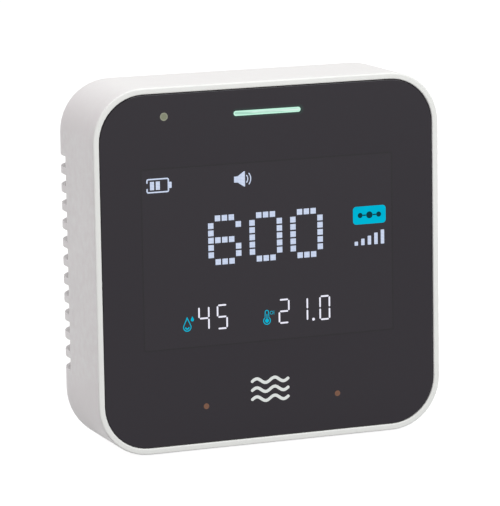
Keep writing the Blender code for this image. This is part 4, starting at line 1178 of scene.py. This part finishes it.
def partTree():
    # sets a part on every point, each with its own turn about Y from a fixed seed
    wanted = (("Part", "NodeSocketObject"), ("Size", "NodeSocketFloat"),
              ("Largest Turn", "NodeSocketFloat"), ("Seed", "NodeSocketInt"))
    tree, given, spread = newRepeatTree("partsOnPoints", wanted)
    part = tree.nodes.new("GeometryNodeObjectInfo")
    chance = tree.nodes.new("FunctionNodeRandomValue")
    turn = tree.nodes.new("ShaderNodeCombineXYZ")
    tree.links.new(given.outputs["Part"], part.inputs["Object"])
    tree.links.new(given.outputs["Largest Turn"], chance.inputs[3])
    tree.links.new(given.outputs["Seed"], chance.inputs["Seed"])
    tree.links.new(chance.outputs[1], turn.inputs["Y"])
    tree.links.new(part.outputs["Geometry"], spread.inputs["Instance"])
    tree.links.new(turn.outputs["Vector"], spread.inputs["Rotation"])
    tree.links.new(given.outputs["Size"], spread.inputs["Scale"])
    return tree


repeatTree = partTree()


def repeatPart(name, part, points, finish, largestTurn=0.0, seed=0):
    settings = {"Part": part, "Size": 1.0, "Largest Turn": largestTurn, "Seed": seed, "Finish": finish}
    mesh = runTree(name, repeatTree, points, settings)
    bpy.data.objects.remove(part, do_unlink=True)
    return pieceOf(name, [mesh], finish, smooth=38)


screwValues = dict(head=2.2, headDepth=0.8, sunk=0.3, shank=1.0, length=14.0, crossLong=2.3,
                   crossWide=0.52, crossDeep=0.5, seed=4)


def makeScrews(values):
    size = {name: value * mm for name, value in values.items()}
    back = coverHigh.y - size["sunk"] - size["headDepth"]  # seat of the head is at y = 0 of the part
    head = size["head"]
    deep = size["headDepth"]
    outline = [(0.4 * mm, -size["length"]), (size["shank"], -size["length"] + 0.6 * mm), (size["shank"], 0),
               (head * 0.96, 0), (head, 0.05 * mm), (head, deep * 0.5), (head * 0.97, deep * 0.66),
               (head * 0.88, deep * 0.82), (head * 0.7, deep * 0.93), (head * 0.4, deep)]
    screw = finishShape("screwPart", turnedShape(0, 0, outline, 32), finishes["bright_steel"])
    shape = bmesh.new()
    for wide, high in (("crossLong", "crossWide"), ("crossWide", "crossLong")):
        corners = bmesh.ops.create_cube(shape, size=1.0)["verts"]
        bmesh.ops.scale(shape, vec=(size[wide], size["crossDeep"] * 2, size[high]), verts=corners)
        bmesh.ops.translate(shape, vec=(0, deep, 0), verts=corners)
    cross = finishShape("crossCutter", shape, finishes["bright_steel"])
    cut = screw.modifiers.new("cross", "BOOLEAN")
    cut.object = cross
    cut.solver = "EXACT"
    cut.use_self = True
    screw = showObject("screwPart", keepMesh(screw))
    spots = [boxOf(node)[0] for node in screwNodes]
    points = [(spot.x, back, spot.z) for spot in spots]
    screws = repeatPart("coverScrews", screw, points, finishes["bright_steel"], math.pi / 2, values["seed"])
    bpy.data.objects.remove(cross, do_unlink=True)
    return screws


fitPiece(makeScrews(screwValues), screwNodes)

footNodes = [f"foot_{number}" for number in range(1, 5)]
footValues = dict(edge=0.22, groove=0.12, steps=36)


def makeFeet(values):
    edge = values["edge"] * mm
    groove = values["groove"] * mm
    spots = [boxOf(node)[0] for node in footNodes]
    half = boxOf(footNodes[0])[1]
    radius = half.x
    tall = half.z * 2
    outline = [(radius * 0.3, 0.5 * groove), (radius * 0.62, 0.5 * groove), (radius * 0.68, 0),
               (radius - edge, 0), (radius - edge * 0.3, edge * 0.3), (radius, edge), (radius, tall),
               (radius * 0.4, tall)]
    shape = turnedShape(0, 0, outline, values["steps"])
    bmesh.ops.rotate(shape, verts=shape.verts, matrix=Matrix.Rotation(math.radians(90), 3, "X"))
    pad = finishShape("footPart", shape, finishes["black_rubber"])
    points = [(spot.x, spot.y, spot.z - half.z) for spot in spots]
    return repeatPart("rubberFeet", pad, points, finishes["black_rubber"])


fitPiece(makeFeet(footValues), footNodes)
print("screws and feet made")


# power button and charging socket

buttonValues = dict(radius=3.2, lip=0.8, flange=0.8, flangeFromTop=2.0, stem=1.5, edge=0.35, dish=0.18,
                    steps=48)


def makeButton(values):
    size = {name: value * mm for name, value in values.items() if name != "steps"}
    low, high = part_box("power_button")
    spot = (low + high) / 2
    top = high.y
    flangeBack = top - size["flangeFromTop"]
    radius = size["radius"]
    edge = size["edge"]
    stem = size["stem"]
    flangeFront = flangeBack - size["flange"]
    outline = [(stem * 0.5, low.y), (stem * 0.9, low.y), (stem, low.y + 0.1 * mm), (stem, flangeFront),
               (radius + size["lip"], flangeFront), (radius + size["lip"], flangeBack), (radius, flangeBack)]
    outline += [(radius - inset, top - drop) for inset, drop in reversed(roundEdge(edge, 4))]
    for share in (0.72, 0.5, 0.3, 0.12):
        outline.append((radius * share, top - size["dish"] * (1 - (share / 0.8) ** 2)))
    return finishShape("buttonCap", turnedShape(spot.x, spot.z, outline, values["steps"]),
                       finishes["button_plastic"])


fitPiece(makeButton(buttonValues), ["power_button"], "button")

socketValues = dict(wall=0.3, lip=0.12, floorShare=0.25, steps=8)


def makeSocket(values):
    low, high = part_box("usb_socket")
    spot, half = boxOf("usb_socket")
    wall = values["wall"] * mm
    lip = values["lip"] * mm
    floor = low.y + (high.y - low.y) * values["floorShare"]
    stations = [(0, low.y), (0, high.y - lip), (lip * 0.3, high.y - lip * 0.3), (lip, high.y),
                (wall - lip * 0.6, high.y), (wall, high.y - lip), (wall, floor)]
    rows = []
    for inset, y in stations:
        rows.append(ringAt(spot.x, spot.z, half.x - inset, half.z - inset, half.z * 0.9 - inset, y,
                           values["steps"]))
    shape = loftShape(rows)[0]
    return finishShape("socketShell", shape, finishes["bright_steel"])


fitPiece(makeSocket(socketValues), ["usb_socket"])


tongueValues = dict(edge=0.12, corner=0.2, steps=3)


def makeTongue(values):
    low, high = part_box("usb_tongue")
    spot, half = boxOf("usb_tongue")
    edge = values["edge"] * mm
    corner = values["corner"] * mm
    rows = []
    for inset, y in ((0, low.y), (0, high.y - edge), (edge * 0.5, high.y - edge * 0.3), (edge, high.y)):
        rows.append(ringAt(spot.x, spot.z, half.x - inset, half.z - inset, corner - inset / 2, y,
                           values["steps"]))
    return finishShape("socketTongue", loftShape(rows)[0], finishes["black_plastic"])


fitPiece(makeTongue(tongueValues), ["usb_tongue"])

backSignValues = dict(thick=0.04, lift=0.01, rise=6.6, width=0.4, ring=1.3, ringEnds=(128, 412),
                      stroke=(0.2, 1.6), batteryShift=-0.3, battery=(1.7, 0.95), batteryHole=(1.3, 0.55),
                      capShift=2.05, cap=(0.2, 0.4))


def makeBackSigns(values):
    # plain printed signs: power over the button, a battery over the socket
    width = values["width"]
    button = boxInMm("switch_plunger")[0]
    z = button.z + values["rise"]
    outlines = [[strokeLoop(arcPoints(button.x, z, values["ring"], *values["ringEnds"], 18), width)],
                [strokeLoop([(button.x, z + end) for end in values["stroke"]], width)]]
    x = boxInMm("usb_socket")[0].x + values["batteryShift"]
    outlines += [[roundedBox(x, z, *values["battery"], 0.3, 4),
                  roundedBox(x, z, *values["batteryHole"], 0.15, 3)],
                 [roundedBox(x + values["capShift"], z, *values["cap"], 0.1, 3)]]
    meshes = [sheetMesh(loops, values["thick"]) for loops in outlines]
    piece = pieceOf("backSigns", meshes, finishes["print_grey"], facingBack(-values["lift"]), 30)
    return fitPiece(piece)


makeBackSigns(backSignValues)
print("button, socket and signs made")


# carried-over parts take the same finishes

slotOf = {part["node"]: part["material_slot"] for part in frame["record"]["subparts"]}
for node, item in frame["nodes"].items():
    for holder in item.material_slots:
        holder.material = finishes[slotOf[node]]
print("inner parts finished:", len(slotOf))


# floor, light and camera

roomValues = dict(floorSize=12.0, floorDrop=0.05, floorColour=(0.30, 0.30, 0.30), floorGlow=0.90,
                  floorBounce=0.15, ambient=0.26, backdrop=1.0)


def seenShare(tree):
    # one for what the camera or a gloss sees, and nothing for light that bounces
    path = tree.nodes.new("ShaderNodeLightPath")
    return calc(tree, "MAXIMUM", path.outputs["Is Camera Ray"], path.outputs["Is Glossy Ray"])


def makeRoom(values):
    shape = bmesh.new()
    bmesh.ops.create_grid(shape, x_segments=2, y_segments=2, size=values["floorSize"] / 2)
    data = bpy.data.meshes.new("floor")
    shape.to_mesh(data)
    shape.free()
    data.transform(Matrix.Translation((0, 0, cadBox[0][2] - values["floorDrop"] * mm)))
    floor = showObject("floor", data)
    paint = bpy.data.materials.new("paleFloor")
    paint.use_nodes = True
    shader = paint.node_tree.nodes["Principled BSDF"]
    shader.inputs["Base Color"].default_value = (*values["floorColour"], 1.0)
    shader.inputs["Roughness"].default_value = 0.9
    shader.inputs["Emission Color"].default_value = (1.0, 1.0, 1.0, 1.0)
    tree = paint.node_tree
    glow = rangeOf(tree, seenShare(tree), 0.0, 1.0, values["floorBounce"], values["floorGlow"])
    tree.links.new(glow, shader.inputs["Emission Strength"])
    data.materials.append(paint)
    world = bpy.data.worlds.new("studio")
    bpy.context.scene.world = world
    world.use_nodes = True
    tree = world.node_tree
    soft = tree.nodes["Background"]
    soft.inputs["Color"].default_value = (1.0, 1.0, 1.0, 1.0)
    soft.inputs["Strength"].default_value = values["ambient"]
    seen = tree.nodes.new("ShaderNodeBackground")
    seen.inputs["Strength"].default_value = values["backdrop"]
    choose = tree.nodes.new("ShaderNodeMixShader")
    tree.links.new(seenShare(tree), choose.inputs[0])
    tree.links.new(soft.outputs[0], choose.inputs[1])
    tree.links.new(seen.outputs[0], choose.inputs[2])
    tree.links.new(choose.outputs[0], tree.nodes["World Output"].inputs["Surface"])


lampValues = (  # name, place, size, power, colour
    ("topSoftbox", (-0.15, -0.05, 1.10), 1.3, 7.4, (0.97, 1.0, 0.99)),
    ("frontSoftbox", (0.50, -1.15, 0.78), 0.8, 13.8, (0.93, 1.0, 0.94)),
    ("leftSoftbox", (-1.00, 0.20, 0.90), 0.8, 3.25, (1.0, 0.88, 0.91)),
)


def makeLamps(lamps):
    for name, place, size, power, colour in lamps:
        light = bpy.data.lights.new(name, "AREA")
        light.shape = "SQUARE"
        light.size = size
        light.energy = power
        light.color = colour
        lamp = showObject(name, light)
        lamp.location = place
        aim = caseMiddle - Vector(place)
        lamp.rotation_euler = aim.to_track_quat("-Z", "Y").to_euler()


cameraValues = dict(azimuth=-21.3154, elevation=9.8624, roll=-0.9151, distance=943.4,
                    across=-5.6, up=2.7, lens=247.8)


def makeCamera(values):
    azimuth, elevation, roll = (math.radians(values[name]) for name in ("azimuth", "elevation", "roll"))
    level = math.cos(elevation)
    back = Vector((math.sin(azimuth) * level, -math.cos(azimuth) * level, math.sin(elevation)))
    right = (-back).cross(Vector((0, 0, 1))).normalized()
    upward = right.cross(-back)
    turnedRight = math.cos(roll) * right + math.sin(roll) * upward
    turnedUp = -math.sin(roll) * right + math.cos(roll) * upward
    data = bpy.data.cameras.new("camera")
    data.lens = values["lens"]
    data.clip_start = 0.01
    camera = showObject("camera", data)
    spot = back * values["distance"] + turnedRight * values["across"] + turnedUp * values["up"]
    target = Vector((0, caseLow.y, caseMiddle.z))
    turn = Matrix((turnedRight, turnedUp, back)).transposed().to_4x4()
    camera.matrix_world = Matrix.Translation(target + spot * mm) @ turn
    bpy.context.scene.camera = camera


makeRoom(roomValues)
makeLamps(lampValues)
makeCamera(cameraValues)
bpy.context.scene.view_settings.view_transform = "Standard"
print("room, light and camera made")
